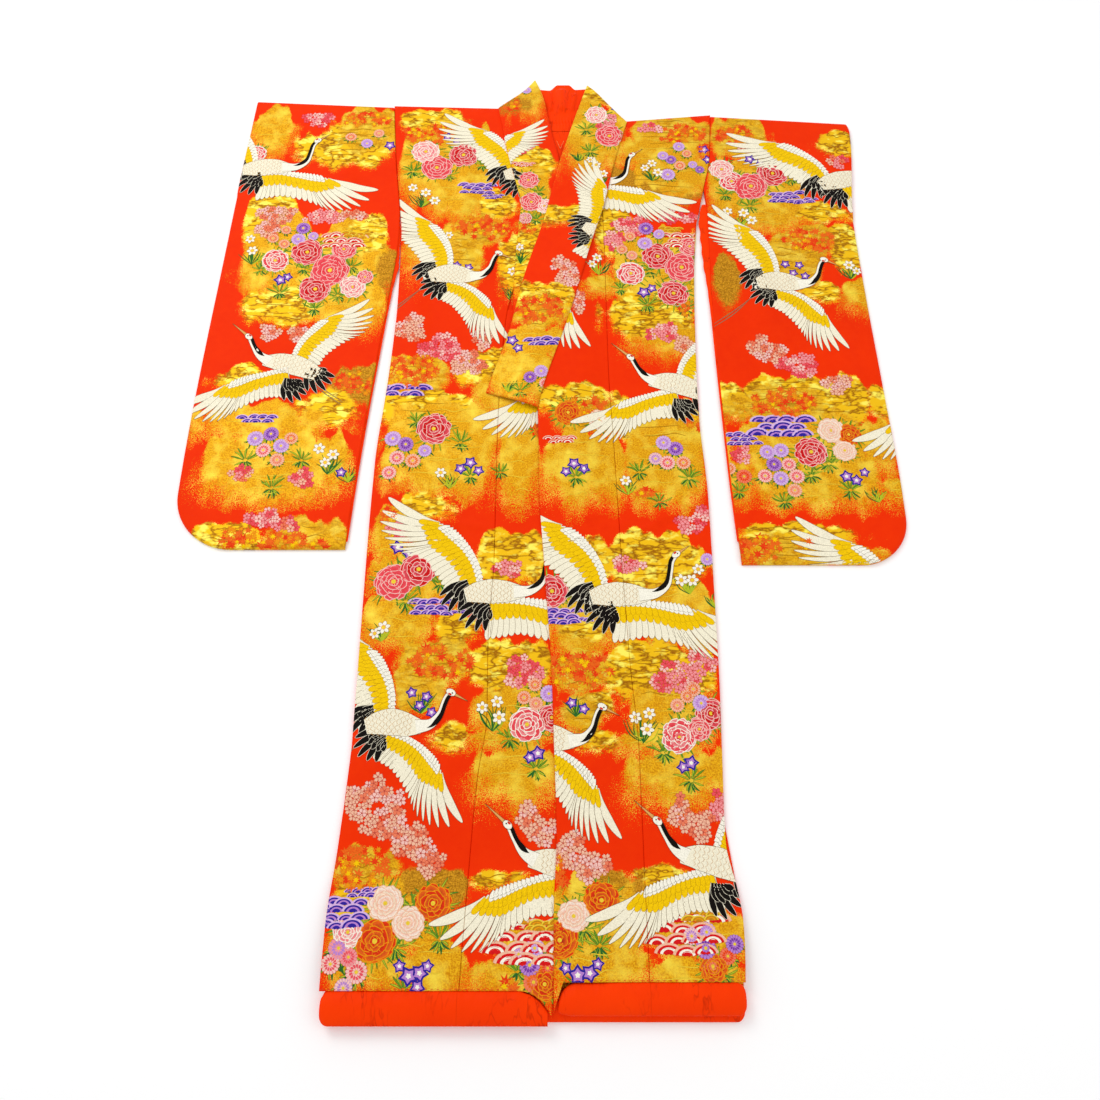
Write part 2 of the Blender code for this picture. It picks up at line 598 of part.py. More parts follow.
    upper_left = HEM_LINE_LEFT - SEAM
    upper_right = HEM_LINE_RIGHT - SEAM
    things.append(add_roll("hem_roll_back", lining,
                           roll_stations(-34.6, 30.2, -0.1, HEM_LINE_BACK - SEAM, 12, 1.6, 1.6),
                           BACK_BASE, BACK_ROLL_HEIGHT))
    things.append(add_roll("hem_roll_left", lining,
                           roll_stations(15.55, 30.4, 0.8, upper_left, 5, 0.0, 1.6),
                           FRONT_ROLL_BASE, FRONT_ROLL_HEIGHT))
    things.append(add_roll("hem_roll_left_okumi", lining,
                           roll_stations(2.35, 15.5, 0.8, upper_left, 5, 1.5, 0.0),
                           FRONT_ROLL_BASE, FRONT_ROLL_HEIGHT))
    things.append(add_roll("hem_roll_right", lining,
                           roll_stations(-34.8, -13.65, -0.6, upper_right, 6, 1.6, 0.0),
                           FRONT_ROLL_BASE, FRONT_ROLL_HEIGHT))
    corner = [(-13.6, -0.6, upper_right, 1.0), (-10.5, -0.6, upper_right, 1.0),
              (-7.4, -0.6, upper_right, 1.0)]
    for share, y in OKUMI_RIGHT_FOOT[1:-1]:
        x = mix(-13.57, 0.5, share)
        fill = (y + 0.6) / (upper_right + 0.6)
        corner.append((x, -0.6, y - SEAM, min(1.0, 0.4 + 0.6 * fill)))
    things.append(add_roll("hem_roll_right_okumi", lining, corner, FRONT_ROLL_BASE, FRONT_ROLL_HEIGHT))
    centre_on_floor(things)


build()
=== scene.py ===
"""Looks of an uchikake wedding kimono that lies flat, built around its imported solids.

Tables hold centimetres above the hem line and centimetres from the middle, and thicknesses are
millimetres, as a maker would note them. The wearer's left is +X and the collar is at +Y.
"""
import math

import bmesh
import bpy
import numpy as np
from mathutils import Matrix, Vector


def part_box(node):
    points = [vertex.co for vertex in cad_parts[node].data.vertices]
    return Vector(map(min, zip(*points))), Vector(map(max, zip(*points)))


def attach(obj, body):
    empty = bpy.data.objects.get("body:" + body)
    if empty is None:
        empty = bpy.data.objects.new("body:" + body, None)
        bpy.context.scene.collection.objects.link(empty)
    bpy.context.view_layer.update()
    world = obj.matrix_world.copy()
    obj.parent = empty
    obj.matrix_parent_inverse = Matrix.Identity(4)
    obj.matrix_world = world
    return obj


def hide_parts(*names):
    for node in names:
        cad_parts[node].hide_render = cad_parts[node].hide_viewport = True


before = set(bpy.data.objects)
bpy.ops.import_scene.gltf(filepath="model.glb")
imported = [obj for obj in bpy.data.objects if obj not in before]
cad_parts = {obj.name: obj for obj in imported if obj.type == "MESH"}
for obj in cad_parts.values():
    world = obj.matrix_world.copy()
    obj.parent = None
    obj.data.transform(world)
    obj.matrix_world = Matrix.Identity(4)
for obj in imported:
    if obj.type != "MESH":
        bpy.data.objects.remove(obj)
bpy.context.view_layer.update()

bl_info = {
    "name": "Uchikake wedding kimono",
    "version": (1, 0, 0),
    "blender": (4, 5, 0),
    "location": "View3D > Sidebar > Uchikake",
    "description": "Cloth, woven figures, hem rolls and stage of an uchikake that lies flat",
    "category": "Add Mesh",
}

CM = 0.01
MM = 0.001
BODY = "root"

# Cloth thicknesses and the undersides of the layers
CLOTH = 3.5
LINING = 1.5
COLLAR = 4.2
GAP = 0.4
FRONT_BASE = CLOTH + GAP
LAP_RISE = CLOTH + 3.0 * GAP
COLLAR_RISE = COLLAR + GAP
COLLAR_BASE = FRONT_BASE + CLOTH + GAP
BACK_ROLL_HEIGHT = 12.0
FRONT_ROLL_HEIGHT = 14.5
FRONT_ROLL_BASE = BACK_ROLL_HEIGHT + GAP
HEM_RISE = 13.5
HEM_RISE_FROM = 24.0
HEM_LINE_BACK = 4.6
HEM_LINE_LEFT = 5.4
HEM_LINE_RIGHT = 4.2
SEAM = 0.012
SLEEVE_CLOTH = 3.0
SLEEVE_HOLLOW = 2.2
CUFF_OPENING = 26.0
SLEEVE_WIDTH = 31.0
PANEL_WIDTH = 32.0
PANEL_LENGTH = 176.0
SHOULDER_SHARE = 0.9965

# Edges. Columns: height above the hem, distance from the middle
BODY_RIGHT_SIDE = (
    (0.0, -34.5), (13.3, -34.5), (26.1, -33.6), (42.2, -32.7), (76.5, -32.7), (94.4, -32.5), (112.0, -31.2),
    (130.5, -30.4), (147.4, -30.6), (154.7, -31.3), (168.0, -32.9), (183.4, -34.2))
BODY_LEFT_SIDE = (
    (0.0, 29.6), (14.1, 30.4), (18.3, 30.0), (26.1, 28.6), (40.7, 29.0), (55.2, 29.4), (87.4, 29.6),
    (104.7, 28.9), (130.5, 29.5), (148.5, 30.7), (154.0, 31.8), (161.0, 33.3), (168.0, 34.8), (180.7, 35.8))
CENTRE_SEAM = ((0.0, -2.4), (172.0, 1.0))
BACK_NECK_LEFT = CENTRE_SEAM + ((174.5, 4.5), (176.2, 9.8), (178.7, 15.3))
BACK_NECK_RIGHT = CENTRE_SEAM + ((175.5, -1.5), (178.5, -5.2), (182.6, -9.0))
FRONT_INNER_RIGHT = (
    (0.0, -13.6), (22.6, -12.5), (36.1, -11.6), (46.3, -10.3), (59.7, -10.4), (75.3, -9.7), (101.2, -9.6),
    (125.0, -8.6), (133.0, -7.4), (139.0, -4.8), (156.0, -4.0), (167.0, -6.2), (182.6, -9.0))
FRONT_INNER_LEFT = (
    (0.0, 15.5), (40.7, 15.2), (55.2, 14.2), (76.7, 13.2), (99.7, 12.4), (115.5, 11.8), (148.0, 11.6),
    (156.0, 11.3), (167.0, 12.3), (178.7, 15.3))
SHOULDER_RIGHT = ((0.0, 182.6), (1.0, 183.4))
SHOULDER_LEFT = ((0.0, 178.7), (1.0, 180.7))
OKUMI_RIGHT_EDGE = (
    (0.0, 0.5), (5.0, 1.2), (14.0, 2.4), (40.0, 4.2), (104.0, 4.6), (118.0, 0.0), (131.0, -6.6))
OKUMI_LEFT_EDGE = (
    (0.0, 0.9), (14.0, 0.9), (27.0, 1.4), (42.0, 1.0), (54.3, 0.6), (73.9, -0.7), (87.7, -1.6),
    (105.6, -2.0), (108.2, -2.6), (123.3, 1.0), (130.5, 3.2), (145.8, 7.1), (154.7, 9.6))
OKUMI_RIGHT_FOOT = ((0.0, 4.2), (0.667, 4.2), (0.781, 3.7), (0.882, 2.7), (0.968, 1.3), (1.0, 0.4))
OKUMI_LEFT_FOOT = ((0.0, 1.2), (0.095, 5.4), (1.0, 5.4))
OKUMI_LEFT_TIP = 152.7
OKUMI_RIGHT_TIP = 129.08
COLLAR_RIGHT_OUTER = (
    (108.0, -5.4), (120.0, -6.8), (133.0, -7.1), (138.9, -6.9), (144.5, -6.6), (150.0, -6.2), (156.0, -5.8),
    (160.1, -6.6), (167.0, -8.2), (172.0, -9.3), (177.2, -10.1), (182.8, -11.1))
COLLAR_RIGHT_INNER = (
    (108.0, 4.6), (120.0, 4.3), (150.0, 3.6), (160.0, 3.2), (168.0, 2.4), (174.9, 0.9), (180.4, -0.1),
    (186.5, -1.2), (191.6, -3.0))
COLLAR_LEFT_OUTER = (
    (105.8, -1.9), (108.2, -1.5), (123.3, 3.0), (130.5, 5.1), (145.8, 9.1), (154.7, 11.6), (167.0, 14.2),
    (178.7, 17.3))
COLLAR_LEFT_INNER = (
    (109.5, -12.0), (112.3, -11.2), (122.6, -8.0), (134.6, -5.4), (138.4, -4.5), (151.8, -0.8),
    (160.1, 0.9), (168.6, 2.8), (179.5, 5.7), (189.9, 8.7))
COLLAR_JOIN = ((0.0, 134.7), (1.0, 129.6))
COLLAR_LEFT_END = ((0.0, 109.5), (1.0, 105.8))
COLLAR_LEFT_PEAK = ((0.0, 189.9), (0.25, 187.9), (0.6, 184.0), (1.0, 178.7))
COLLAR_RIGHT_PEAK = ((0.0, 182.8), (0.5, 187.3), (1.0, 191.6))
COLLAR_LEFT_LEVELS = (
    (105.0, 8.2, 17.2), (112.0, 9.0, 17.2), (122.0, 12.6, 17.2), (140.0, 12.8, 17.2), (150.0, 12.8, 15.0),
    (160.0, 12.8, 10.0), (168.0, 12.6, 8.2), (176.0, 8.4, 7.9), (184.0, 7.9, 7.9), (190.0, 5.0, 7.9))
SLEEVE_RIGHT_OUTER = ((77.0, -68.4), (88.8, -68.6), (150.0, -66.6), (185.1, -64.8))
SLEEVE_RIGHT_OPEN_EDGE = ((76.6, -36.8), (97.2, -35.4), (132.0, -32.3), (147.4, -31.1))
SLEEVE_LEFT_OUTER = (
    (74.0, 65.5), (88.2, 65.7), (110.3, 65.1), (133.0, 64.4), (150.5, 64.1), (176.2, 66.1), (178.5, 65.6))
SLEEVE_LEFT_OPEN_EDGE = ((73.4, 34.9), (94.7, 33.9), (133.0, 33.1), (141.3, 33.3), (154.0, 33.5))
ARMHOLE_RIGHT_FOOT = 154.0
ARMHOLE_LEFT_FOOT = 160.0
ARMHOLE_SEAM = 0.05
SLEEVE_RIGHT_CORNER = 11.0
SLEEVE_LEFT_CORNER = 9.0
NAPE_FOOT = 176.6
NAPE_LENGTH = 12.6
NECK_LINING_FOOT = 150.0
NECK_LINING_LENGTH = 26.3
LINING_CLEAR = 0.25
LINING_HIDDEN = 3.0
LINING_FOOT = 78.5
LINING_TOP = 156.0
LINING_SHOWS_LEFT = ((75.0, 0.3), (125.0, 0.4), (134.0, 0.7), (141.0, 1.4), (154.0, 2.0))
LINING_SHOWS_RIGHT = ((75.0, 0.3), (125.0, 0.35), (134.0, 0.5), (147.0, 1.2), (154.0, 0.6))

# Folds. Columns: from x, y, to x, y, half width (cm), height (mm)
FRONT_FOLDS = (
    (29.0, 87.0, 17.0, 83.0, 2.6, 5.0), (16.0, 82.0, 8.0, 80.0, 2.2, 3.0),
    (-30.0, 84.5, -16.0, 81.0, 2.6, 3.5), (25.0, 62.0, 24.0, 32.0, 4.0, 5.0),
    (25.0, 132.0, 24.5, 98.0, 4.0, 5.0), (-27.0, 140.0, -26.5, 96.0, 4.0, 5.5),
    (-28.0, 74.0, -28.0, 34.0, 4.5, 5.5), (20.0, 170.0, 25.0, 146.0, 3.0, 4.0),
    (-17.0, 174.0, -19.0, 140.0, 3.2, 4.5), (-18.0, 58.0, -17.0, 30.0, 3.0, 3.5),
    (20.0, 24.0, 19.0, 50.0, 3.0, 3.5))
SLEEVE_RIGHT_FOLDS = (
    (-44.0, 176.0, -42.5, 120.0, 4.0, 6.0), (-58.0, 172.0, -59.0, 110.0, 4.5, 5.5),
    (-52.0, 118.0, -51.0, 88.0, 4.0, 5.0), (-63.0, 104.0, -62.0, 92.0, 3.0, 3.5))
SLEEVE_LEFT_FOLDS = (
    (44.0, 172.0, 43.0, 118.0, 4.0, 6.0), (57.0, 170.0, 57.5, 108.0, 4.5, 5.5),
    (50.0, 114.0, 51.0, 86.0, 4.0, 5.0), (40.0, 106.0, 40.5, 86.0, 3.0, 3.5))
NECK_FOLDS = (
    (3.0, 189.6, 2.9, 181.5, 1.8, 8.0), (0.1, 188.5, 0.5, 182.0, 0.9, 4.5),
    (6.0, 188.0, 5.0, 182.0, 0.9, 4.5))
# Small creases that only the finished cloth has, in the same columns
SMALL_CREASES = (
    (29.4, 86.5, 15.0, 79.6, 0.8, 3.4), (14.5, 84.6, 2.0, 82.2, 0.9, 2.6),
    (27.0, 81.5, 16.0, 80.6, 0.7, 2.0), (13.5, 79.2, 4.0, 78.6, 0.7, 1.8),
    (-31.0, 87.5, -19.0, 85.4, 0.8, 2.4), (-20.0, 82.2, -8.0, 81.0, 0.9, 2.2),
    (-10.0, 86.0, 2.0, 84.5, 0.8, 1.8), (-26.0, 79.0, -14.0, 78.4, 0.7, 1.6),
    (-30.0, 118.0, -20.0, 115.0, 1.4, 1.5), (28.0, 116.0, 19.0, 119.0, 1.4, 1.5),
    (-31.0, 62.0, -22.0, 58.0, 1.4, 1.4), (27.0, 40.0, 18.0, 44.0, 1.4, 1.4),
    (-20.0, 24.0, -16.0, 40.0, 1.3, 1.4), (-12.5, 44.0, -3.0, 41.0, 0.9, 2.0),
    (-14.0, 31.0, -4.0, 33.0, 0.9, 1.8), (14.0, 40.0, 4.0, 43.5, 0.9, 2.0),
    (12.0, 30.0, 3.0, 28.0, 1.6, 0.9), (28.0, 53.0, 17.0, 52.0, 1.2, 1.6))
SLEEVE_CREASES = (
    (-66.0, 122.0, -56.0, 119.0, 1.4, 1.5), (-40.0, 116.0, -50.0, 112.0, 1.4, 1.5),
    (62.0, 122.0, 52.0, 118.0, 1.4, 1.5), (38.0, 100.0, 46.0, 97.0, 1.4, 1.4),
    (-48.0, 160.0, -38.0, 156.0, 1.4, 1.6), (50.0, 158.0, 60.0, 161.0, 1.4, 1.6))

# The model's middle, from the back roll's packed corner
ROLL_CORNER = (-34.6, -0.1)
MIDDLE_X = ROLL_CORNER[0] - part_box("hem_roll_back")[0].x / CM
MIDDLE_Y = ROLL_CORNER[1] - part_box("hem_roll_back")[0].y / CM


def linear(hex_colour):
    """sRGB hex colour as linear values."""
    channels = [int(hex_colour[i:i + 2], 16) / 255.0 for i in (1, 3, 5)]
    return tuple(c / 12.92 if c <= 0.04045 else ((c + 0.055) / 1.055) ** 2.4 for c in channels)


def mix(a, b, share):
    return a + (b - a) * share


def smooth(value):
    value = np.clip(value, 0.0, 1.0)
    return value * value * (3.0 - 2.0 * value)


def read_table(table, key, column=1):
    """Value of a column at a key, on a smooth curve through the table's rows."""
    if key <= table[0][0]:
        return table[0][column]
    if key >= table[-1][0]:
        return table[-1][column]
    last = len(table) - 1
    row = max(i for i in range(last) if table[i][0] <= key)
    step = table[row + 1][0] - table[row][0]
    share = (key - table[row][0]) / step

    def slope(i):
        if i in (0, last):
            return None
        before = (table[i][column] - table[i - 1][column]) / (table[i][0] - table[i - 1][0])
        after = (table[i + 1][column] - table[i][column]) / (table[i + 1][0] - table[i][0])
        return 0.0 if before * after <= 0.0 else 2.0 * before * after / (before + after)

    rise = table[row + 1][column] - table[row][column]
    start = slope(row)
    end = slope(row + 1)
    start = rise if start is None else start * step
    end = rise if end is None else end * step
    square = share * share
    cube = square * share
    return ((2 * cube - 3 * square + 1) * table[row][column] + (cube - 2 * square + share) * start
            + (3 * square - 2 * cube) * table[row + 1][column] + (cube - square) * end)


def curve(table, column=1, amount=0.0):
    """A table's column as a function that takes arrays."""
    keys = np.linspace(table[0][0], table[-1][0], 700)
    values = np.array([read_table(table, key, column) for key in keys]) + amount
    return lambda key: np.interp(key, keys, values)


def straight(table, amount=0.0):
    keys, values = np.array(table, float).T
    return lambda key: np.interp(key, keys, values + amount)


# Share of a fold's noted height that the finished cloth keeps
FOLD_SHARE = 0.6


def fold_height(folds, x, y):
    """Height in mm that the folds of a table add at each point."""
    height = np.zeros_like(x)
    for x0, y0, x1, y1, half, tall in folds:
        length = math.hypot(x1 - x0, y1 - y0)
        along = ((x - x0) * (x1 - x0) + (y - y0) * (y1 - y0)) / length
        across = np.abs((x - x0) * (y1 - y0) - (y - y0) * (x1 - x0)) / length
        end = np.minimum(along, length - along) / half
        side = np.clip(1.0 - (across / half) ** 2, 0.0, 1.0) ** 2
        height += tall * side * smooth(end)
    return height * FOLD_SHARE


def front_base(x, y):
    climb = HEM_RISE * smooth((HEM_RISE_FROM - y) / (HEM_RISE_FROM - HEM_LINE_LEFT))
    creases = 1.3 * fold_height(SMALL_CREASES, x, y)
    return FRONT_BASE + climb + fold_height(FRONT_FOLDS, x, y) + creases


def overlap_base(x, y):
    on_collar = smooth((y - 96.0) / 8.0)
    return front_base(x, y) + smooth((12.0 - x) / 6.0) * (LAP_RISE + COLLAR_RISE * on_collar)


def collar_right_base(x, y):
    return mix(COLLAR_BASE, 4.5, smooth((y - 184.0) / 5.0))


COLLAR_EDGES = curve(COLLAR_LEFT_INNER), curve(COLLAR_LEFT_OUTER)
COLLAR_LEVELS = curve(COLLAR_LEFT_LEVELS, 1), curve(COLLAR_LEFT_LEVELS, 2)


def collar_left_base(x, y):
    inner, outer = (edge(y) for edge in COLLAR_EDGES)
    low, high = (level(y) for level in COLLAR_LEVELS)
    return mix(low, high, smooth((x - inner) / (outer - inner) / 0.7))


def rim(distance, radius):
    """How the padded cloth rounds down towards an edge."""
    inward = np.clip(distance / radius, 0.0, 1.0)
    return 0.4 + 0.6 * np.sqrt(1.0 - (1.0 - inward) ** 2)


class Panel:
    """A piece of cloth between its start and end edges, and the height of its face.

    Edges take a height, and the foot and the head take the share from the start edge to the end.
    """

    def __init__(self, start, end, foot, head, base, thick, rounded):
        self.start = start
        self.end = end
        self.foot = foot
        self.head = head
        self.base = base
        self.thick = thick
        self.rounded = rounded

    def plan(self, across, along):
        y = mix(self.foot(across), self.head(across), along)
        return mix(self.start(y), self.end(y), across), y

    def distances(self, x, y):
        """Distances in cm to the start, end, foot and head edges; negative outside."""
        start = self.start(y)
        width = self.end(y) - start
        share = (x - start) / np.where(np.abs(width) < 0.01, 0.01, width)
        inside = np.clip(share, 0.0, 1.0)
        return (share * np.abs(width), (1.0 - share) * np.abs(width),
                y - self.foot(inside), self.head(inside) - y)

    def face(self, x, y):
        height = np.full_like(x, self.thick)
        for radius, distance in zip(self.rounded, self.distances(x, y)):
            if radius:
                height = height * rim(distance, radius)
        return self.base(x, y) + height


def spread(length, step, fine=(0.0, 0.07, 0.16, 0.3, 0.5)):
    """Shares along a length, close together at both ends."""
    count = max(2, round((length - 2.0 * fine[-1]) / step))
    middle = np.linspace(fine[-1], length - fine[-1], count + 1)
    return np.concatenate([fine[:-1], middle, [length - f for f in fine[-2::-1]]]) / length


def to_world(x, y, z):
    return np.stack([(x - MIDDLE_X) * CM, (y - MIDDLE_Y) * CM, z * MM], axis=-1)


def to_cloth(points):
    """Garment centimetres from world points."""
    return points[:, 0] / CM + MIDDLE_X, points[:, 1] / CM + MIDDLE_Y


def grid_faces(rows, columns, first=0):
    corner = (np.arange(rows - 1)[:, None] * columns + np.arange(columns - 1)).ravel() + first
    return np.stack([corner, corner + 1, corner + columns + 1, corner + columns], axis=1)


def border(rows, columns):
    """Places of a grid's outer points, in order around it."""
    across = np.arange(columns)
    up = np.arange(1, rows)
    ring = [across, up * columns + columns - 1, (rows - 1) * columns + across[-2::-1]]
    return np.concatenate(ring + [up[-2::-1] * columns])


def link_object(name, data):
    thing = bpy.data.objects.new(name, data)
    bpy.context.scene.collection.objects.link(thing)
    return thing


def clean_mesh(mesh):
    """Remove points that no face uses, and turn the faces out."""
    work = bmesh.new()
    work.from_mesh(mesh)
    loose = [vertex for vertex in work.verts if not vertex.link_faces]
    bmesh.ops.delete(work, geom=loose, context="VERTS")
    bmesh.ops.recalc_face_normals(work, faces=work.faces)
    work.to_mesh(mesh)
    work.free()


def new_object(name, points, faces, material, clean=True):
    mesh = bpy.data.meshes.new(name)
    mesh.from_pydata(np.asarray(points).tolist(), [], [list(face) for face in faces])
    if clean:
        clean_mesh(mesh)
    mesh.materials.append(material)
    mesh.shade_smooth()
    mesh.set_sharp_from_angle(angle=math.radians(60.0))
    return link_object(name, mesh)


def wall(name, outside, inside, material):
    """Closed wall between two grids of world points."""
    rows, columns = outside.shape[:2]
    points = np.concatenate([outside.reshape(-1, 3), inside.reshape(-1, 3)])
    shift = rows * columns
    ring = border(rows, columns)
    after = np.roll(ring, -1)
    side = np.stack([ring, ring + shift, after + shift, after], axis=1)
    faces = np.concatenate([grid_faces(rows, columns), grid_faces(rows, columns, shift)[:, ::-1], side])
    return new_object(name, points, faces, material)


def flat_level(value):
    return lambda share: np.full_like(np.asarray(share, float), value)


def sleeve_line(table, corner):
    """Outer edge of a sleeve, with its lower corner rounded."""
    line = curve(table)
    foot = table[0][0]

    def edge(y):
        below = np.clip(foot + corner - y, 0.0, corner)
        inward = corner - np.sqrt(corner * corner - below * below)
        return line(y) - np.sign(line(y)) * inward

    return edge


def sleeve_edge(open_edge, body_side, armhole_foot):
    """Edge beside the body: open below, and along the armhole seam above."""
    seam = math.copysign(ARMHOLE_SEAM, open_edge[0][1])
    below = curve(open_edge + ((armhole_foot, float(body_side(armhole_foot)) + seam),))
    return lambda y: np.where(y >= armhole_foot, body_side(y) + seam, below(y))


def sleeve_base(folds):
    lift = SLEEVE_CLOTH + SLEEVE_HOLLOW
    return lambda x, y: lift + fold_height(folds + SLEEVE_CREASES, x, y)


SIDE_LEFT = curve(BODY_LEFT_SIDE)
SIDE_RIGHT = curve(BODY_RIGHT_SIDE)
INNER_LEFT = curve(FRONT_INNER_LEFT)
INNER_RIGHT = curve(FRONT_INNER_RIGHT)
EDGE_LEFT = sleeve_edge(SLEEVE_LEFT_OPEN_EDGE, SIDE_LEFT, ARMHOLE_LEFT_FOOT)
EDGE_RIGHT = sleeve_edge(SLEEVE_RIGHT_OPEN_EDGE, SIDE_RIGHT, ARMHOLE_RIGHT_FOOT)
SEAM_VALLEY = 0.2
CLOTH_EDGE = 0.45
BAND_EDGE = 0.7

PANELS = {
    "body_left": Panel(INNER_LEFT, SIDE_LEFT, flat_level(HEM_LINE_LEFT), straight(SHOULDER_LEFT),
                       front_base, CLOTH, (SEAM_VALLEY, CLOTH_EDGE, SEAM_VALLEY, 0.0)),
    "body_right": Panel(INNER_RIGHT, SIDE_RIGHT, flat_level(HEM_LINE_RIGHT), straight(SHOULDER_RIGHT),
                        front_base, CLOTH, (SEAM_VALLEY, CLOTH_EDGE, SEAM_VALLEY, 0.0)),
    "okumi_left": Panel(curve(OKUMI_LEFT_EDGE), curve(FRONT_INNER_LEFT, amount=-SEAM),
                        straight(OKUMI_LEFT_FOOT), flat_level(OKUMI_LEFT_TIP), overlap_base, CLOTH,
                        (CLOTH_EDGE, SEAM_VALLEY, SEAM_VALLEY, SEAM_VALLEY)),
    "okumi_right": Panel(curve(FRONT_INNER_RIGHT, amount=SEAM), curve(OKUMI_RIGHT_EDGE),
                         straight(OKUMI_RIGHT_FOOT), flat_level(OKUMI_RIGHT_TIP), front_base, CLOTH,
                         (SEAM_VALLEY, CLOTH_EDGE, SEAM_VALLEY, SEAM_VALLEY)),
    "collar_left": Panel(COLLAR_EDGES[0], COLLAR_EDGES[1], straight(COLLAR_JOIN, SEAM),
                         curve(COLLAR_LEFT_PEAK), collar_left_base, COLLAR,
                         (BAND_EDGE, BAND_EDGE, SEAM_VALLEY, BAND_EDGE)),
    "collar_left_end": Panel(COLLAR_EDGES[0], COLLAR_EDGES[1], straight(COLLAR_LEFT_END),
                             straight(COLLAR_JOIN, -SEAM), collar_left_base, COLLAR,
                             (BAND_EDGE, BAND_EDGE, CLOTH_EDGE, SEAM_VALLEY)),
    "collar_right": Panel(curve(COLLAR_RIGHT_OUTER), curve(COLLAR_RIGHT_INNER), flat_level(108.0),
                          curve(COLLAR_RIGHT_PEAK), collar_right_base, COLLAR,
                          (BAND_EDGE, BAND_EDGE, 0.0, BAND_EDGE)),
    "sleeve_left": Panel(EDGE_LEFT, sleeve_line(SLEEVE_LEFT_OUTER, SLEEVE_LEFT_CORNER),
                         flat_level(SLEEVE_LEFT_OUTER[0][0]),
                         straight(((0.0, SHOULDER_LEFT[-1][1]), (1.0, SLEEVE_LEFT_OUTER[-1][0]))),
                         sleeve_base(SLEEVE_LEFT_FOLDS), SLEEVE_CLOTH,
                         (SEAM_VALLEY, CLOTH_EDGE, CLOTH_EDGE, CLOTH_EDGE)),
    "sleeve_right": Panel(EDGE_RIGHT, sleeve_line(SLEEVE_RIGHT_OUTER, SLEEVE_RIGHT_CORNER),
                          flat_level(SLEEVE_RIGHT_OUTER[0][0]),
                          straight(((0.0, SHOULDER_RIGHT[-1][1]), (1.0, SLEEVE_RIGHT_OUTER[-1][0]))),
                          sleeve_base(SLEEVE_RIGHT_FOLDS), SLEEVE_CLOTH,
                          (SEAM_VALLEY, CLOTH_EDGE, CLOTH_EDGE, CLOTH_EDGE)),
}


SURFACES = {}


def note_cut(name, *plans):
    """Work out the cut of a cloth from the flat plan of its layers, which join end to end; nothing keeps the
    results.

    The rectangle that each layer is cut from lies along the layer's own lean.
    """
    widest = length = area = 0.0
    for x, y in plans:
        lean = math.atan2(x[-1].mean() - x[0].mean(), y[-1].mean() - y[0].mean())
        across = x * math.cos(lean) - y * math.sin(lean)
        along = x * math.sin(lean) + y * math.cos(lean)
        widest = max(widest, float(np.ptp(across)))
        length += float(np.ptp(along))
        ax, ay = x[1:, 1:] - x[:-1, :-1], y[1:, 1:] - y[:-1, :-1]
        bx, by = x[1:, :-1] - x[:-1, 1:], y[1:, :-1] - y[:-1, 1:]
        area += float(np.abs(ax * by - ay * bx).sum()) / 2.0


def lay_panel(name, material, step=0.7):
    """A cloth panel as a closed wall that lies on its base."""
    panel = PANELS[name]
    foot = float(panel.foot(np.array(0.5)))
    head = float(panel.head(np.array(0.5)))
    heights = np.linspace(foot, head, 9)
    width = float(np.mean(np.abs(panel.end(heights) - panel.start(heights))))
    columns, rows = spread(width, step), spread(head - foot, step)
    x, y = panel.plan(*np.meshgrid(columns, rows))
    note_cut(name, (x, y))
    face = panel.face(x, y)
    SURFACES[name] = grid_surface(panel, columns, rows, face)
    return wall(name + "_cloth", to_world(x, y, face), to_world(x, y, panel.base(x, y)), material)


def lay_body(name, back_inner, material):
    """One cloth from the back hem over the shoulder fold to the front hem."""
    front = PANELS[name]
    middle = CLOTH + GAP / 2.0
    small = GAP / 2.0
    across = spread(PANEL_WIDTH, 0.7)
    outside = []
    inside = []
    back = []
    for along in np.concatenate([np.linspace(0.0, 0.9, 14), np.linspace(0.92, 0.985, 6)]):
        y = mix(HEM_LINE_BACK, front.head(across), along)
        x = mix(back_inner(y), front.end(y), across)
        back.append((x, y))
        outside.append(to_world(x, y, np.zeros_like(x)))
        inside.append(to_world(x, y, np.full_like(x, CLOTH)))
    y = front.head(across)
    x = mix(front.start(y), front.end(y), across)
    for turn in np.radians(np.linspace(-70.0, 70.0, 8)):
        reach = math.cos(turn) * MM / CM
        outside.append(to_world(x, y + middle * reach, np.full_like(x, middle + middle * math.sin(turn))))
        inside.append(to_world(x, y + small * reach, np.full_like(x, middle + small * math.sin(turn))))
    rows = spread(PANEL_LENGTH, 0.7)
    rows = rows[rows < SHOULDER_SHARE]
    x, y = front.plan(*np.meshgrid(across, rows))
    note_cut(name, np.swapaxes(np.array(back), 0, 1), (x, y))
    face = front.face(x, y)
    SURFACES[name] = grid_surface(front, across, rows, face)
    inside += list(to_world(x, y, front.base(x, y)))[::-1]
    outside += list(to_world(x, y, face))[::-1]
    return wall(name + "_cloth", np.array(outside), np.array(inside), material)


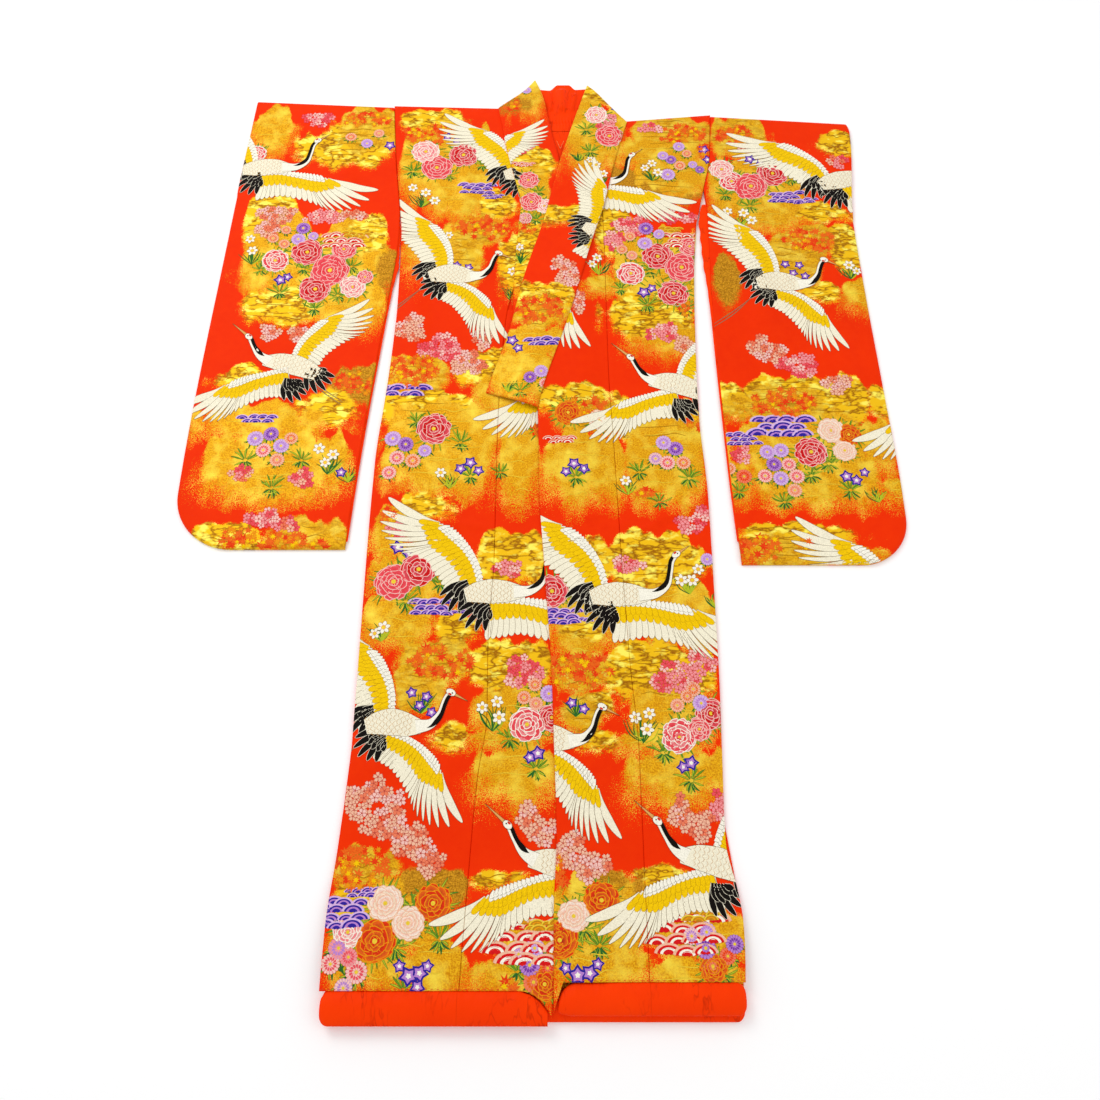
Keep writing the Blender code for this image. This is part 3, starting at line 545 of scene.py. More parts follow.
def lay_sleeve(name, material):
    """Bag of one cloth: folded at the top, closed at its foot and below the cuff opening,
    open at the cuff and all along the side of the body."""
    panel = PANELS[name]
    foot = float(panel.foot(np.array(0.0)))
    top = float(panel.head(np.array(0.0)))
    length = top - foot
    columns = spread(SLEEVE_WIDTH, 0.75)
    rows = spread(length, 0.75, (0.0, 0.05, 0.12, 0.22, 0.36, 0.55, 0.8, 1.15))
    last_row = len(rows) - 1
    last_column = len(columns) - 1
    cuff_from = 1.0 - CUFF_OPENING / length
    across, along = np.meshgrid(columns, rows)
    x, y = panel.plan(across, along)
    note_cut(name, (x, y), (x, y))
    inset = 0.5 / SLEEVE_WIDTH
    shut_side = along < cuff_from
    hollow_x, hollow_y = panel.plan(np.where(shut_side, np.minimum(across, 1.0 - inset), across),
                                    np.clip(along, 0.5 / length, 1.0 - 0.5 / length))
    lift = panel.base(x, y) - SLEEVE_CLOTH
    face = closed_rim(panel, x, y)
    SURFACES[name] = grid_surface(panel, columns, rows, face)
    layers = [to_world(x, y, np.zeros_like(x)),
              to_world(hollow_x, hollow_y, np.full_like(x, SLEEVE_CLOTH)),
              to_world(hollow_x, hollow_y, SLEEVE_CLOTH + lift),
              to_world(x, y, face)]

    def shut(here, after):
        if here[0] == after[0]:
            return here[0] in (0, last_row)
        return here[1] == last_column and min(rows[here[0]], rows[after[0]]) < cuff_from

    wide = last_column + 1
    spots = [divmod(int(place), wide) for place in border(last_row + 1, wide)]
    pairs = list(zip(spots, spots[1:] + spots[:1]))
    merged = {spot for pair in pairs if shut(*pair) for spot in pair}
    for spot in merged:
        layers[1][spot] = (layers[1][spot] + layers[2][spot]) / 2.0
    count = layers[0].shape[0] * wide
    points = np.concatenate([layer.reshape(-1, 3) for layer in layers])

    def place(layer, spot):
        layer = 1 if layer == 2 and spot in merged else layer
        return layer * count + spot[0] * wide + spot[1]

    faces = [face for layer in (0, 1, 3) for face in grid_faces(last_row + 1, wide, layer * count).tolist()]
    joined = {2 * count + spot[0] * wide + spot[1]: place(2, spot) for spot in merged}
    faces += [[joined.get(i, i) for i in face]
              for face in grid_faces(last_row + 1, wide, 2 * count).tolist()]
    for here, after in pairs:
        if shut(here, after):
            faces.append([place(0, here), place(0, after), place(3, after), place(3, here)])
        else:
            faces.append([place(0, here), place(0, after), place(1, after), place(1, here)])
            faces.append([place(2, here), place(2, after), place(3, after), place(3, here)])
    for before, (here, after) in zip(pairs[-1:] + pairs[:-1], pairs):
        if shut(*before) != shut(here, after):
            faces.append([place(0, here), place(1, here), place(3, here)])
    thing = new_object(name + "_cloth", points, faces, material, clean=False)
    clean_mesh(thing.data)
    return thing


def closed_rim(panel, x, y):
    """Height of a sleeve's face, rounded down to the floor where the bag is closed."""
    face = panel.face(x, y)
    end, foot, head = panel.distances(x, y)[1:]
    cuff = smooth((float(panel.head(np.array(1.0))) - CUFF_OPENING - y) / 0.8)
    closed = np.minimum(rim(foot, 0.8), np.minimum(rim(head, 0.8), mix(1.0, rim(end, 0.8), cuff)))
    return face * closed


def lay_sleeve_lining(name, side_line, edge, shows_table, material):
    """Strip of lining that shows along the open edge, between the sleeve's layers."""
    side = 1.0 if name.endswith("left") else -1.0
    y = np.linspace(LINING_FOOT, LINING_TOP, 120)
    room = np.abs(edge(y) - side_line(y)) - LINING_CLEAR
    shows = np.minimum(room, curve(shows_table)(y))
    ripple = 0.06 * np.sin(y * 1.7) * smooth((y - 120.0) / 20.0)
    xs = np.stack([edge(y) - side * shows * (1.0 - ripple), edge(y) - side * shows * 0.6,
                   edge(y) + side * 0.3, edge(y) + side * LINING_HIDDEN], axis=1)
    ys = np.repeat(y[:, None], 4, axis=1)
    note_cut(name, (xs, ys))
    level = SLEEVE_CLOTH + GAP
    soft = np.array([0.5, 1.0, 1.0, 1.0])
    top = level + LINING * np.repeat(soft[None, :], len(y), axis=0)
    inside = to_world(xs, ys, np.full_like(xs, level))
    return wall(name + "_cloth", to_world(xs, ys, top), inside, material)


# Points round a hem roll, and the step along it in cm
ROLL_SIDES = 40
ROLL_STEP = 0.25


def roll_profile(stations, sides, base, height, puckers):
    """Rings of a padded roll. Stations: x, lower edge, upper edge, share of the height."""
    turn = np.linspace(0.0, 2.0 * math.pi, sides, endpoint=False)
    rings = []
    for x, low, high, share in stations:
        centre = (low + high) / 2.0
        half = (high - low) / 2.0
        up = np.maximum(0.0, 0.5 + 0.5 * np.sin(turn) - 0.14) / 0.86
        lift = height * ((1.0 - share) * 0.4 + up * share)
        near_seam = np.clip(np.cos(turn), 0.0, 1.0) ** 2
        near_foot = np.clip(-np.cos(turn), 0.0, 1.0) ** 1.5
        seam_wave = near_seam * (math.sin(x * 5.3) + 0.6 * math.sin(x * 8.9 + 1.0))
        foot_wave = near_foot * (math.sin(x * 3.1 + 2.0 * math.sin(x * 0.6)) + 0.5 * math.sin(x * 6.7))
        wave = puckers * up * share * (seam_wave + 0.9 * foot_wave)
        slack = up * share * (0.5 * math.sin(x * 0.83 + 0.5) + 0.25 * math.sin(x * 1.9 + 2.0 * centre)
                              + 0.3 * np.sin(x * 1.37 + turn * 1.3))
        ys = centre + half * np.cos(turn)
        rings.append(to_world(np.full_like(ys, x), ys, base + lift - np.abs(wave) + slack))
    return np.array(rings)


def lay_roll(name, stations, base, height, material, puckers):
    sides = ROLL_SIDES
    rings = roll_profile(stations, sides, base, height, puckers)
    count = len(stations)
    corner = (np.arange(count - 1)[:, None] * sides + np.arange(sides)).ravel()
    after = (np.arange(count - 1)[:, None] * sides + (np.arange(sides) + 1) % sides).ravel()
    faces = np.stack([corner, after, after + sides, corner + sides], axis=1).tolist()
    faces += [list(range(sides)), [(count - 1) * sides + i for i in range(sides)]]
    return new_object(name, rings.reshape(-1, 3), faces, material)


def roll_stations(start, end, low, high, start_round, end_round):
    """Places along a roll, with rounded ends where a rounding length is given."""
    half = (high - low) / 2.0
    rows = []
    for share_along in spread(abs(end - start), ROLL_STEP, (0.0, 0.02, 0.06, 0.12)):
        x = mix(start, end, share_along)
        near = min(abs(x - start) / start_round if start_round else 1.0,
                   abs(end - x) / end_round if end_round else 1.0, 1.0)
        share = 0.35 + 0.65 * math.sqrt(1.0 - (1.0 - near) ** 2)
        share = 1.0 if near >= 1.0 else share
        rows.append((x, low + half * (1.0 - share), high - half * (1.0 - share), share))
    return rows


# Ends of the hem rolls: the outer ends, and the seams between body and overlap
ROLL_END_RIGHT = -34.2
ROLL_END_BACK = 29.8
ROLL_END_LEFT = 29.9
ROLL_SEAM_LEFT = 15.5
ROLL_SEAM_RIGHT = -13.61
ROLL_FOOT_BACK = -0.1
ROLL_FOOT_LEFT = 0.8
ROLL_FOOT_RIGHT = -0.6
LEFT_TIP = 1.6
LEFT_ROUNDING = 2.9


def right_corner_stations():
    """Roll below the right overlap, whose upper edge curves down to the middle."""
    foot = straight(OKUMI_RIGHT_FOOT)
    upper = HEM_LINE_RIGHT - SEAM
    rows = []
    for x in np.linspace(ROLL_SEAM_RIGHT + 0.01, 0.0, 56):
        high = float(foot(np.clip((x + 13.57) / 14.07, 0.0, 1.0))) - SEAM
        fill = (high - ROLL_FOOT_RIGHT) / (upper - ROLL_FOOT_RIGHT)
        rows.append((x, ROLL_FOOT_RIGHT, high, min(1.0, 0.4 + 0.6 * fill)))
    return rows


def left_corner_stations():
    """Roll below the left overlap, whose upper corner is rounded off."""
    upper = HEM_LINE_LEFT - SEAM
    rows = []
    tip = LEFT_TIP + LEFT_ROUNDING * np.linspace(0.0, 1.0, 24) ** 1.6
    for x in np.concatenate([tip, np.linspace(4.75, ROLL_SEAM_LEFT - 0.01, 44)]):
        near = min((x - LEFT_TIP) / LEFT_ROUNDING, 1.0)
        share = 0.3 + 0.7 * math.sqrt(1.0 - (1.0 - near) ** 2)
        foot = ROLL_FOOT_LEFT + 0.5 * (1.0 - near) ** 3
        rows.append((x, foot, mix(ROLL_FOOT_LEFT, upper, share), share))
    return rows


GATHER_LINE = 179.0


def lay_neck(material):
    """Back collar, gathered where it turns over at the nape."""
    start = straight(((176.6, -2.6), (190.0, -3.4)))
    end = straight(((176.6, 8.0), (190.0, 8.8)))
    peak = curve(((0.0, 189.0), (0.3, 188.6), (0.45, 190.2), (0.65, 190.2), (0.78, 188.8), (1.0, 189.0)))
    across, along = np.meshgrid(np.linspace(0.0, 1.0, 90), spread(NAPE_LENGTH, 0.2))
    y = mix(NAPE_FOOT, peak(across), along)
    x = mix(start(y), end(y), across)
    note_cut("collar_back", (x, y))
    lift = 1.7 * fold_height(NECK_FOLDS, x, y)
    gathers = 0.9 * np.sin(x * 9.0 + np.sin(y * 1.3)) * np.exp(-((y - GATHER_LINE) / 1.4) ** 2)
    crease = -1.6 * np.exp(-((y - GATHER_LINE) / 0.35) ** 2)
    face = CLOTH + GAP + lift + gathers + crease
    return wall("collar_back_cloth", to_world(x, y, face), to_world(x, y, lift), material)


def lay_neck_lining(material):
    start = straight(((150.0, -3.6), (156.0, -3.7), (167.0, -5.8), (176.3, -7.2)))
    end = straight(((150.0, 9.6), (156.0, 10.8), (167.0, 11.8), (176.3, 14.0)))
    across, along = np.meshgrid(np.linspace(0.0, 1.0, 50), spread(NECK_LINING_LENGTH, 0.4))
    y = NECK_LINING_FOOT + NECK_LINING_LENGTH * along
    x = mix(start(y), end(y), across)
    note_cut("neck_lining", (x, y))
    soft = LINING * (0.85 + 0.15 * np.sin(x * 0.9 + y * 0.35))
    level = np.full_like(x, FRONT_BASE)
    return wall("neck_lining_cloth", to_world(x, y, level + soft), to_world(x, y, level), material)


# Woven figures. A photo place is a named pair of pixels of the 1100 x 1100 photograph
PHOTO_MIDDLE = 548.0
PHOTO_HORIZON = -1800.0
PHOTO_HEM = 2822.0
PHOTO_ACROSS = 0.002374
PHOTO_DEPTH = 1071450.0


def photo_place(px, py):
    """Cloth centimetres under a place in the photograph, on the flat floor."""
    depth = py - PHOTO_HORIZON
    return np.array([(px - PHOTO_MIDDLE) / (PHOTO_ACROSS * depth),
                     PHOTO_DEPTH * (1.0 / depth - 1.0 / PHOTO_HEM)])


# Dyes of the silk and metal threads; the last value is how much it gleams like metal
DYES = {
    "cream": ("#FBF3D8", 0.05), "cream_line": ("#6B4F2A", 0.0), "ivory": ("#FFFAE8", 0.05),
    "yellow": ("#FACB06", 0.15), "yellow_line": ("#B98708", 0.1), "black": ("#15100E", 0.15),
    "crown": ("#D8301E", 0.0), "beak": ("#E8A860", 0.1), "leg": ("#8A7A5A", 0.0),
    "red": ("#DE1A1C", 0.1), "red_deep": ("#A80E16", 0.05), "rose": ("#F05560", 0.1),
    "pink": ("#F79A9C", 0.1), "pale_pink": ("#FBC9BE", 0.1), "peach": ("#F8BFA0", 0.1),
    "coral": ("#F4805C", 0.1), "coral_line": ("#C24A3A", 0.0), "orange": ("#F26A1C", 0.15),
    "flame": ("#EE3E12", 0.15), "amber": ("#F09A14", 0.3), "purple": ("#7A3AA4", 0.1),
    "lilac": ("#BE86D2", 0.1), "pale_lilac": ("#DDB8E6", 0.1), "indigo": ("#33239A", 0.1),
    "leaf": ("#6E9A1E", 0.1), "leaf_deep": ("#2F6A2A", 0.05), "lime": ("#B8C42A", 0.25),
    "gold": ("#F2CF3A", 0.9), "gold_deep": ("#B8800E", 0.7), "gold_line": ("#7E5208", 0.3),
    "bronze": ("#C88A1A", 0.7),
}
# Heights in mm: of the lowest patch, of each patch over the last, and of a part over another
PATCH_LIFT = 0.22
LAYER_RISE = 0.003
PART_RISE = 0.09
# Width in cm of the line round a figure
OUTLINE = 0.055


def along_curve(points, count):
    """Smooth open line with evenly shared places through a few points."""
    points = np.asarray(points, float)
    if len(points) == 2:
        return mix(points[0], points[1], np.linspace(0.0, 1.0, count)[:, None])
    steps = np.concatenate([[0.0], np.cumsum(np.linalg.norm(np.diff(points, axis=0), axis=1))])
    slopes = np.gradient(points, steps, axis=0)
    at = np.linspace(0.0, steps[-1], count)
    row = np.clip(np.searchsorted(steps, at, side="right") - 1, 0, len(steps) - 2)
    width = (steps[row + 1] - steps[row])[:, None]
    t = ((at - steps[row]) / width[:, 0])[:, None]
    return ((2 * t**3 - 3 * t**2 + 1) * points[row] + (t**3 - 2 * t**2 + t) * width * slopes[row]
            + (3 * t**2 - 2 * t**3) * points[row + 1] + (t**3 - t**2) * width * slopes[row + 1])


def ways_of(line):
    """Unit directions along a line at each of its points, and across it."""
    along = np.gradient(line, axis=0)
    along /= np.maximum(np.linalg.norm(along, axis=1), 1e-6)[:, None]
    return along, np.stack([-along[:, 1], along[:, 0]], axis=1)


def spun(points, angle):
    """Rows of points turned about the origin by an angle."""
    c, s = math.cos(angle), math.sin(angle)
    return points @ np.array([[c, s], [-s, c]])


def turned(vector, degrees):
    angle = math.radians(degrees)
    c, s = math.cos(angle), math.sin(angle)
    return np.array([c * vector[0] - s * vector[1], s * vector[0] + c * vector[1]])


class Figures:
    """Patches of figured weave on one length of cloth.

    Each corner holds x and y (cm), distance from the outline (cm), dye, gleam and line dye.
    """

    def __init__(self):
        self.corners = []
        self.heights = []
        self.level = PATCH_LIFT
        self.motifs = 0
        self.shuffle = 0.85

    def add(self, places, rims, dye, line_dye, inner=None):
        """Four-cornered patches; a three-cornered one repeats its last corner."""
        outer = np.array(linear(DYES[dye][0]) + (DYES[dye][1],))
        core = np.array(linear(DYES[inner or dye][0]) + (DYES[inner or dye][1],))
        share = (rims / max(float(rims.max()), 1e-6))[:, :, None]
        line = np.broadcast_to(linear(DYES[line_dye or dye][0]), rims.shape + (3,))
        self.level += LAYER_RISE
        self.corners.append(np.concatenate([places, rims[:, :, None], mix(outer, core, share), line], axis=2))
        self.heights.append(np.full(len(places), self.level))

    def restart(self, parts=0):
        """Start a motif again above a number of parts."""
        self.motifs += 1
        self.level = PATCH_LIFT + (parts + self.shuffle * (self.motifs * 0.618034 % 1.0)) * PART_RISE

    def ribbon(self, line, half, dye, line_dye=None, strips=2):
        """Band along a line, in strips that follow the cloth."""
        line = np.asarray(line, float)
        half = np.broadcast_to(half, (len(line),))
        across = ways_of(line)[1]
        offsets = np.linspace(-1.0, 1.0, strips + 1) if line_dye or strips > 2 else np.array([-1.0, 1.0])
        grid = line[:, None] + (across * half[:, None])[:, None] * offsets[None, :, None]
        rims = half[:, None] * (1.0 - np.abs(offsets))[None]
        places = np.stack([grid[:-1, 1:], grid[:-1, :-1], grid[1:, :-1], grid[1:, 1:]], axis=2)
        depths = np.stack([rims[:-1, 1:], rims[:-1, :-1], rims[1:, :-1], rims[1:, 1:]], axis=2)
        self.add(places.reshape(-1, 4, 2), depths.reshape(-1, 4), dye, line_dye)

    def stroke(self, points, width, dye, count=8):
        """Thin line that tapers at both ends."""
        t = np.linspace(0.0, 1.0, count)
        self.ribbon(along_curve(points, count), width / 2.0 * (0.35 + 0.65 * np.sin(math.pi * t)), dye)

    def blob(self, centre, rim_points, dye, line_dye=None, inner=None, fine=1.0):
        """Patch around a centre, from the points of its rim."""
        rim_points = np.asarray(rim_points, float)
        after = np.roll(rim_points, -1, axis=0)
        middle = np.broadcast_to(np.asarray(centre, float), rim_points.shape)
        reach = float(np.mean(np.linalg.norm(rim_points - middle, axis=1)))
        zero = np.zeros(len(middle))
        full = np.full(len(middle), reach * 0.8 / fine)
        if reach < 0.8:
            self.add(np.stack([middle, rim_points, after, after], axis=1),
                     np.stack([full, zero, zero, zero], axis=1), dye, line_dye, inner)
            return
        half_here, half_after = mix(middle, rim_points, 0.5), mix(middle, after, 0.5)
        places = np.concatenate([np.stack([middle, half_here, half_after, half_after], axis=1),
                                 np.stack([half_here, rim_points, after, half_after], axis=1)])
        rims = np.concatenate([np.stack([full, full / 2.0, full / 2.0, full / 2.0], axis=1),
                               np.stack([full / 2.0, zero, zero, full / 2.0], axis=1)])
        self.add(places, rims, dye, line_dye, inner)

    def disc(self, centre, radius, dye, sides=10, squash=1.0, turn=0.0, line_dye=None):
        angle = np.linspace(0.0, 2.0 * math.pi, sides, endpoint=False)
        ring = np.stack([np.cos(angle) * radius, np.sin(angle) * radius * squash], axis=1)
        self.blob(centre, np.asarray(centre) + spun(ring, turn), dye, line_dye)

    def feather(self, root, tip, half_root, half_tip, dye, line_dye, bend=0.0, point=0.25, count=9):
        """Feather or petal with an outline, rounded at its tip."""
        root = np.asarray(root, float)
        tip = np.asarray(tip, float)
        way = tip - root
        length = float(np.linalg.norm(way))
        normal = np.array([-way[1], way[0]]) / max(length, 1e-6)
        t = np.linspace(0.0, 1.0, count)
        t = np.concatenate([t[:-1], [1.0 - 0.25 / (count - 1), 1.0]])
        line = root + way * t[:, None] + normal * (bend * length * np.sin(math.pi * t))[:, None]
        near = np.clip((t - 1.0 + point) / point, 0.0, 1.0)
        half = (mix(half_root, half_tip, smooth(t / 0.6)) + OUTLINE) * np.sqrt(1.0 - near * near)
        half[-1] = 0.01
        self.ribbon(line, half, dye, line_dye)


# Shape of a spread wing, in shares of its span. Columns: share of the feathers from the body,
# along the span, across it
WING_ROOTS = (
    (0.0, 0.0, 0.0), (0.25, 0.14, -0.085), (0.5, 0.29, -0.13), (0.75, 0.42, -0.14), (1.0, 0.56, -0.115))
WING_TIPS = (
    (0.0, 0.05, 0.27), (0.15, 0.16, 0.235), (0.3, 0.28, 0.2), (0.45, 0.42, 0.205), (0.6, 0.57, 0.235),
    (0.72, 0.7, 0.265), (0.84, 0.84, 0.225), (0.93, 0.94, 0.135), (1.0, 1.0, 0.0))

FLIGHT_FEATHERS = 20


def draw_wing(figures, shoulder, tip, side, bow, chord):
    """Spread wing: cream flight feathers, a yellow band over their roots, and a scaled rim."""
    shoulder = np.asarray(shoulder, float)
    span_way = np.asarray(tip, float) - shoulder
    trail = side * np.array([span_way[1], -span_way[0]])

    def at(table, u):
        along = read_table(table, u, 1)
        across = read_table(table, u, 2)
        across *= bow if across < 0.0 else chord
        return shoulder + span_way * along + trail * across

    us = np.linspace(0.0, 1.0, FLIGHT_FEATHERS)
    roots = np.array([at(WING_ROOTS, u) for u in us])
    tips = np.array([at(WING_TIPS, u) for u in us])
    ways = tips - roots
    lengths = np.linalg.norm(ways, axis=1)
    normals = np.stack([-ways[:, 1], ways[:, 0]], axis=1) / lengths[:, None]

    def gaps(points):
        steps = np.abs(np.sum(np.gradient(points, axis=0) * normals, axis=1))
        return np.maximum(steps, 0.12)

    tip_gap = gaps(tips)
    root_gap = gaps(roots)
    for i in range(FLIGHT_FEATHERS - 1, -1, -1):
        hand = smooth((us[i] - 0.5) / 0.2)
        half_tip = tip_gap[i] * mix(0.56, 0.31, hand)
        half_root = max(root_gap[i] * 0.6, 0.22)
        figures.feather(roots[i], tips[i], half_root, half_tip, "cream", "cream_line",
                        bend=side * mix(0.05, -0.07, hand), point=mix(0.16, 0.62, hand), count=11)
    span = float(np.linalg.norm(span_way))
    figures.level += PART_RISE / 2.0
    for start, stop, count in ((0.26, 0.56, 15), (0.12, 0.38, 17)):
        for u in np.linspace(0.93, 0.03, count):
            shrink = mix(1.0, 0.72, smooth((u - 0.55) / 0.3))
            root = at(WING_ROOTS, u)
            way = at(WING_TIPS, u) - root
            half = 0.53 * span * 0.58 / count
            figures.feather(root + way * start * shrink, root + way * stop * shrink, half, half,
                            "yellow", "yellow_line", point=0.35, count=5)
    figures.level += PART_RISE / 2.0
    for row, (start, stop) in enumerate(((0.03, 0.16), (-0.03, 0.10))):
        for u in np.linspace(0.86, 0.0, 17) + 0.02 * row:
            root = at(WING_ROOTS, u)
            way = at(WING_TIPS, u) - root
            half = 0.56 * span * 0.53 / 17
            figures.feather(root + way * start, root + way * stop, half, half, "ivory", "cream_line",
                            point=0.5, count=4)


# Cranes in flight, centimetres from the body's middle. Wing columns: shoulder, tip, side on which
# the feathers trail, how far the leading edge bows, how deep the wing is
CRANES = {
    "rising": {
        "wings": (((1.4, 1.3), (-16.4, 18.0), -1, 1.0, 1.0), ((2.6, -1.6), (28.0, -6.5), 1, 0.3, 1.1)),
        "spine": ((-1.6, -1.2), (0.8, -0.6), (3.4, -0.4), (6.0, -0.5), (8.6, -0.6)),
        "neck": ((7.0, -0.5), (10.0, -0.2), (12.0, 1.4), (12.7, 4.0), (13.1, 6.0), (13.9, 7.2)),
        "beak": (16.4, 8.9), "dark_side": -1, "tail": (-0.9, -1.0),
        "tertials": (((-0.4, 1.4), (-4.6, -4.6)), ((3.4, -2.2), (-1.6, -7.6))),
        "legs": None,
    },
    "turning": {
        "wings": (((0.2, 2.5), (-12.4, 21.0), -1, 1.0, 1.0), ((0.0, -0.4), (12.4, -15.2), 1, 1.0, 1.0)),
        "spine": ((-4.4, 0.4), (-2.2, 1.0), (0.2, 1.2), (2.8, 0.7), (5.0, 0.4)),
        "neck": ((4.0, 0.4), (6.6, 1.0), (8.0, 2.6), (8.6, 4.4), (9.0, 5.4), (9.7, 6.3)),
        "beak": (12.6, 4.8), "dark_side": 1, "tail": (-1.0, -0.5),
        "tertials": (((-2.6, 3.6), (-7.2, -1.0)), ((-0.2, -0.6), (-5.6, -4.8))),
        "legs": ((-6.0, -3.0), (-14.3, -9.5)),
    },
    "gliding": {
        "wings": (((1.2, 1.0), (15.6, 15.6), 1, 1.0, 1.0), ((0.7, -0.9), (-19.6, -8.8), -1, 0.25, 1.15)),
        "spine": ((7.0, -2.4), (4.4, -1.1), (1.6, 0.0), (-1.6, 0.7), (-4.2, 0.9)),
        "neck": ((-3.0, 0.8), (-4.8, 1.9), (-6.0, 3.4), (-6.8, 4.9), (-7.1, 5.6), (-7.6, 6.3)),
        "beak": (-11.3, 9.6), "dark_side": 1, "tail": (1.0, -0.8),
        "tertials": (((1.2, -2.6), (4.2, -8.4)), ((5.4, 0.2), (8.8, -6.2))),
        "legs": ((4.6, -3.4), (12.0, -8.4)),
    },
}


def draw_crane(figures, kind, centre):
    shape = CRANES[kind]
    centre = np.asarray(centre, float)
    figures.restart(2)
    if shape["legs"]:
        start, end = (centre + np.array(p) for p in shape["legs"])
        for shift in (0.0, 0.7):
            knee = mix(start, end, 0.5) + (0.3, -shift)
            figures.stroke((start, knee, end + (0.0, -shift)), 0.16, "leg", 14)
    for part, (shoulder, tip, side, bow, chord) in enumerate(shape["wings"]):
        figures.restart(2 + part)
        draw_wing(figures, centre + shoulder, centre + tip, side, bow, chord)
    figures.restart(6)
    tail_way = np.array(shape["tail"]) / np.linalg.norm(shape["tail"])
    rear = centre + shape["spine"][0]
    for i in range(5):
        root = centre + mix(np.array(shape["spine"][0]), np.array(shape["spine"][1]), 0.8)
        figures.feather(root + turned(tail_way, 90) * (i - 2) * 0.4,
                        rear + turned(tail_way, (i - 2) * 14) * 1.3, 0.5, 0.5, "ivory", "cream_line")
    for root, tip in shape["tertials"]:
        root = centre + root
        tip = centre + tip
        for row in range(2):
            for i in range(5):
                sway = (i - 2) * 15.0 + row * 6.0
                reach = (1.0 - 0.09 * abs(i - 1.5)) * (1.0 - 0.38 * row)
                start = mix(root, tip, 0.05 + 0.04 * i) + turned(tip - root, 90) * (i - 2) * 0.055
                end = root + turned(tip - root, sway) * reach
                figures.feather(start, end, 0.25, 0.55, "black", "cream", bend=-0.08, point=0.6, count=7)
    figures.restart(7)
    spine = along_curve([centre + p for p in shape["spine"]], 18)
    half = np.interp(np.linspace(0.0, 1.0, 18), (0.0, 0.2, 0.45, 0.75, 1.0), (1.3, 1.95, 2.35, 2.0, 1.15))
    figures.ribbon(spine, half, "cream", "cream_line", strips=6)
    figures.restart(8)
    along, across = ways_of(spine)
    for i in range(1, 15):
        for k in range(4):
            place = spine[i] + across[i] * half[i] * ((k + (i % 2) * 0.5) / 2.0 - 0.9)
            back = -along[i] * 0.42
            wide = across[i] * half[i] * 0.24
            figures.stroke((place - wide, place + back, place + wide), 0.055, "bronze", count=5)
    neck = along_curve([centre + p for p in shape["neck"]], 22)
    t = np.linspace(0.0, 1.0, 22)
    half = np.interp(t, (0.0, 0.3, 0.6, 1.0), (1.25, 0.85, 0.52, 0.5))
    figures.restart(9)
    figures.ribbon(neck, half, "ivory", "cream_line", strips=4)
    dark = neck - ways_of(neck)[1] * (half * 0.45 * shape["dark_side"])[:, None]
    width = half * 0.62 * np.interp(t, (0.2, 0.4, 0.9, 1.0), (0.0, 1.0, 1.0, 0.6))
    figures.restart(10)
    figures.ribbon(dark, width, "black")
    head = neck[-1]
    beak = centre + shape["beak"]
    way = (beak - head) / np.linalg.norm(beak - head)
    tilt = math.atan2(way[1], way[0])
    t = np.linspace(0.0, 1.0, 6)
    figures.ribbon(mix(head, beak, t[:, None]), 0.30 * (1.0 - t) + 0.04, "beak", "cream_line")
    figures.restart(11)
    figures.disc(head, 0.92, "ivory", 12, 0.68, tilt, "cream_line")
    figures.restart(12)
    crown = head + turned(way, 90 * -shape["dark_side"]) * 0.36
    figures.disc(crown, 0.34, "crown", 8, 0.55, tilt)
    figures.disc(head + way * 0.28, 0.13, "black", 8)


PEONIES = {"red": ("red_deep", "red", "rose", "pale_pink"), "rose": ("red", "rose", "rose", "pale_pink"),
           "pink": ("red", "pink", "rose", "ivory"), "pale": ("rose", "pink", "pale_pink", "ivory"),
           "flame": ("red_deep", "flame", "orange", "amber"),
           "cream": ("coral", "cream", "ivory", "peach")}


def draw_peony(figures, place, radius, kind, rng):
    """Full flower: rings of frilled petals with pale rims."""
    line, base, light, rim_dye = PEONIES[kind]
    figures.restart(1)
    spin = rng.uniform(0.0, 360.0)
    for reach, petals, size, dye in ((0.68, 9, 0.42, base), (0.62, 8, 0.38, light), (0.42, 7, 0.33, base),
                                     (0.26, 5, 0.26, light), (0.10, 3, 0.21, base)):
        for i in range(petals):
            heading = spin + 360.0 * i / petals + rng.uniform(-9.0, 9.0)
            middle = place + turned((radius * reach, 0.0), heading)
            angle = np.linspace(0.0, 2.0 * math.pi, 11, endpoint=False)
            frill = 1.0 + 0.13 * np.cos(angle * 3.0 + i) + rng.uniform(-0.08, 0.08, 11)
            ring = np.stack([np.cos(angle) * 0.85, np.sin(angle) * 1.1], axis=1) * frill[:, None]
            ring = spun(ring, math.radians(heading)) * radius * size
            heart = middle - turned((radius * size * 0.5, 0.0), heading)
            figures.blob(heart, middle + ring, dye, rim_dye, inner=line, fine=1.5)
        figures.level += PART_RISE / 4.0
        spin += 180.0 / petals
    figures.disc(place, radius * 0.13, "gold", 7)


# Dye and light dye of a chrysanthemum
CHRYSANTHEMUMS = {
    "lilac": ("lilac", "pale_lilac"), "purple": ("purple", "lilac"), "rose": ("rose", "pale_pink"),
    "orange": ("orange", "peach"), "coral": ("coral", "peach"), "mauve": ("lilac", "pink"),
    "pink": ("rose", "pink"), "pale": ("lilac", "pale_pink"), "flame": ("flame", "coral"),
    "copper": ("orange", "coral"),
}


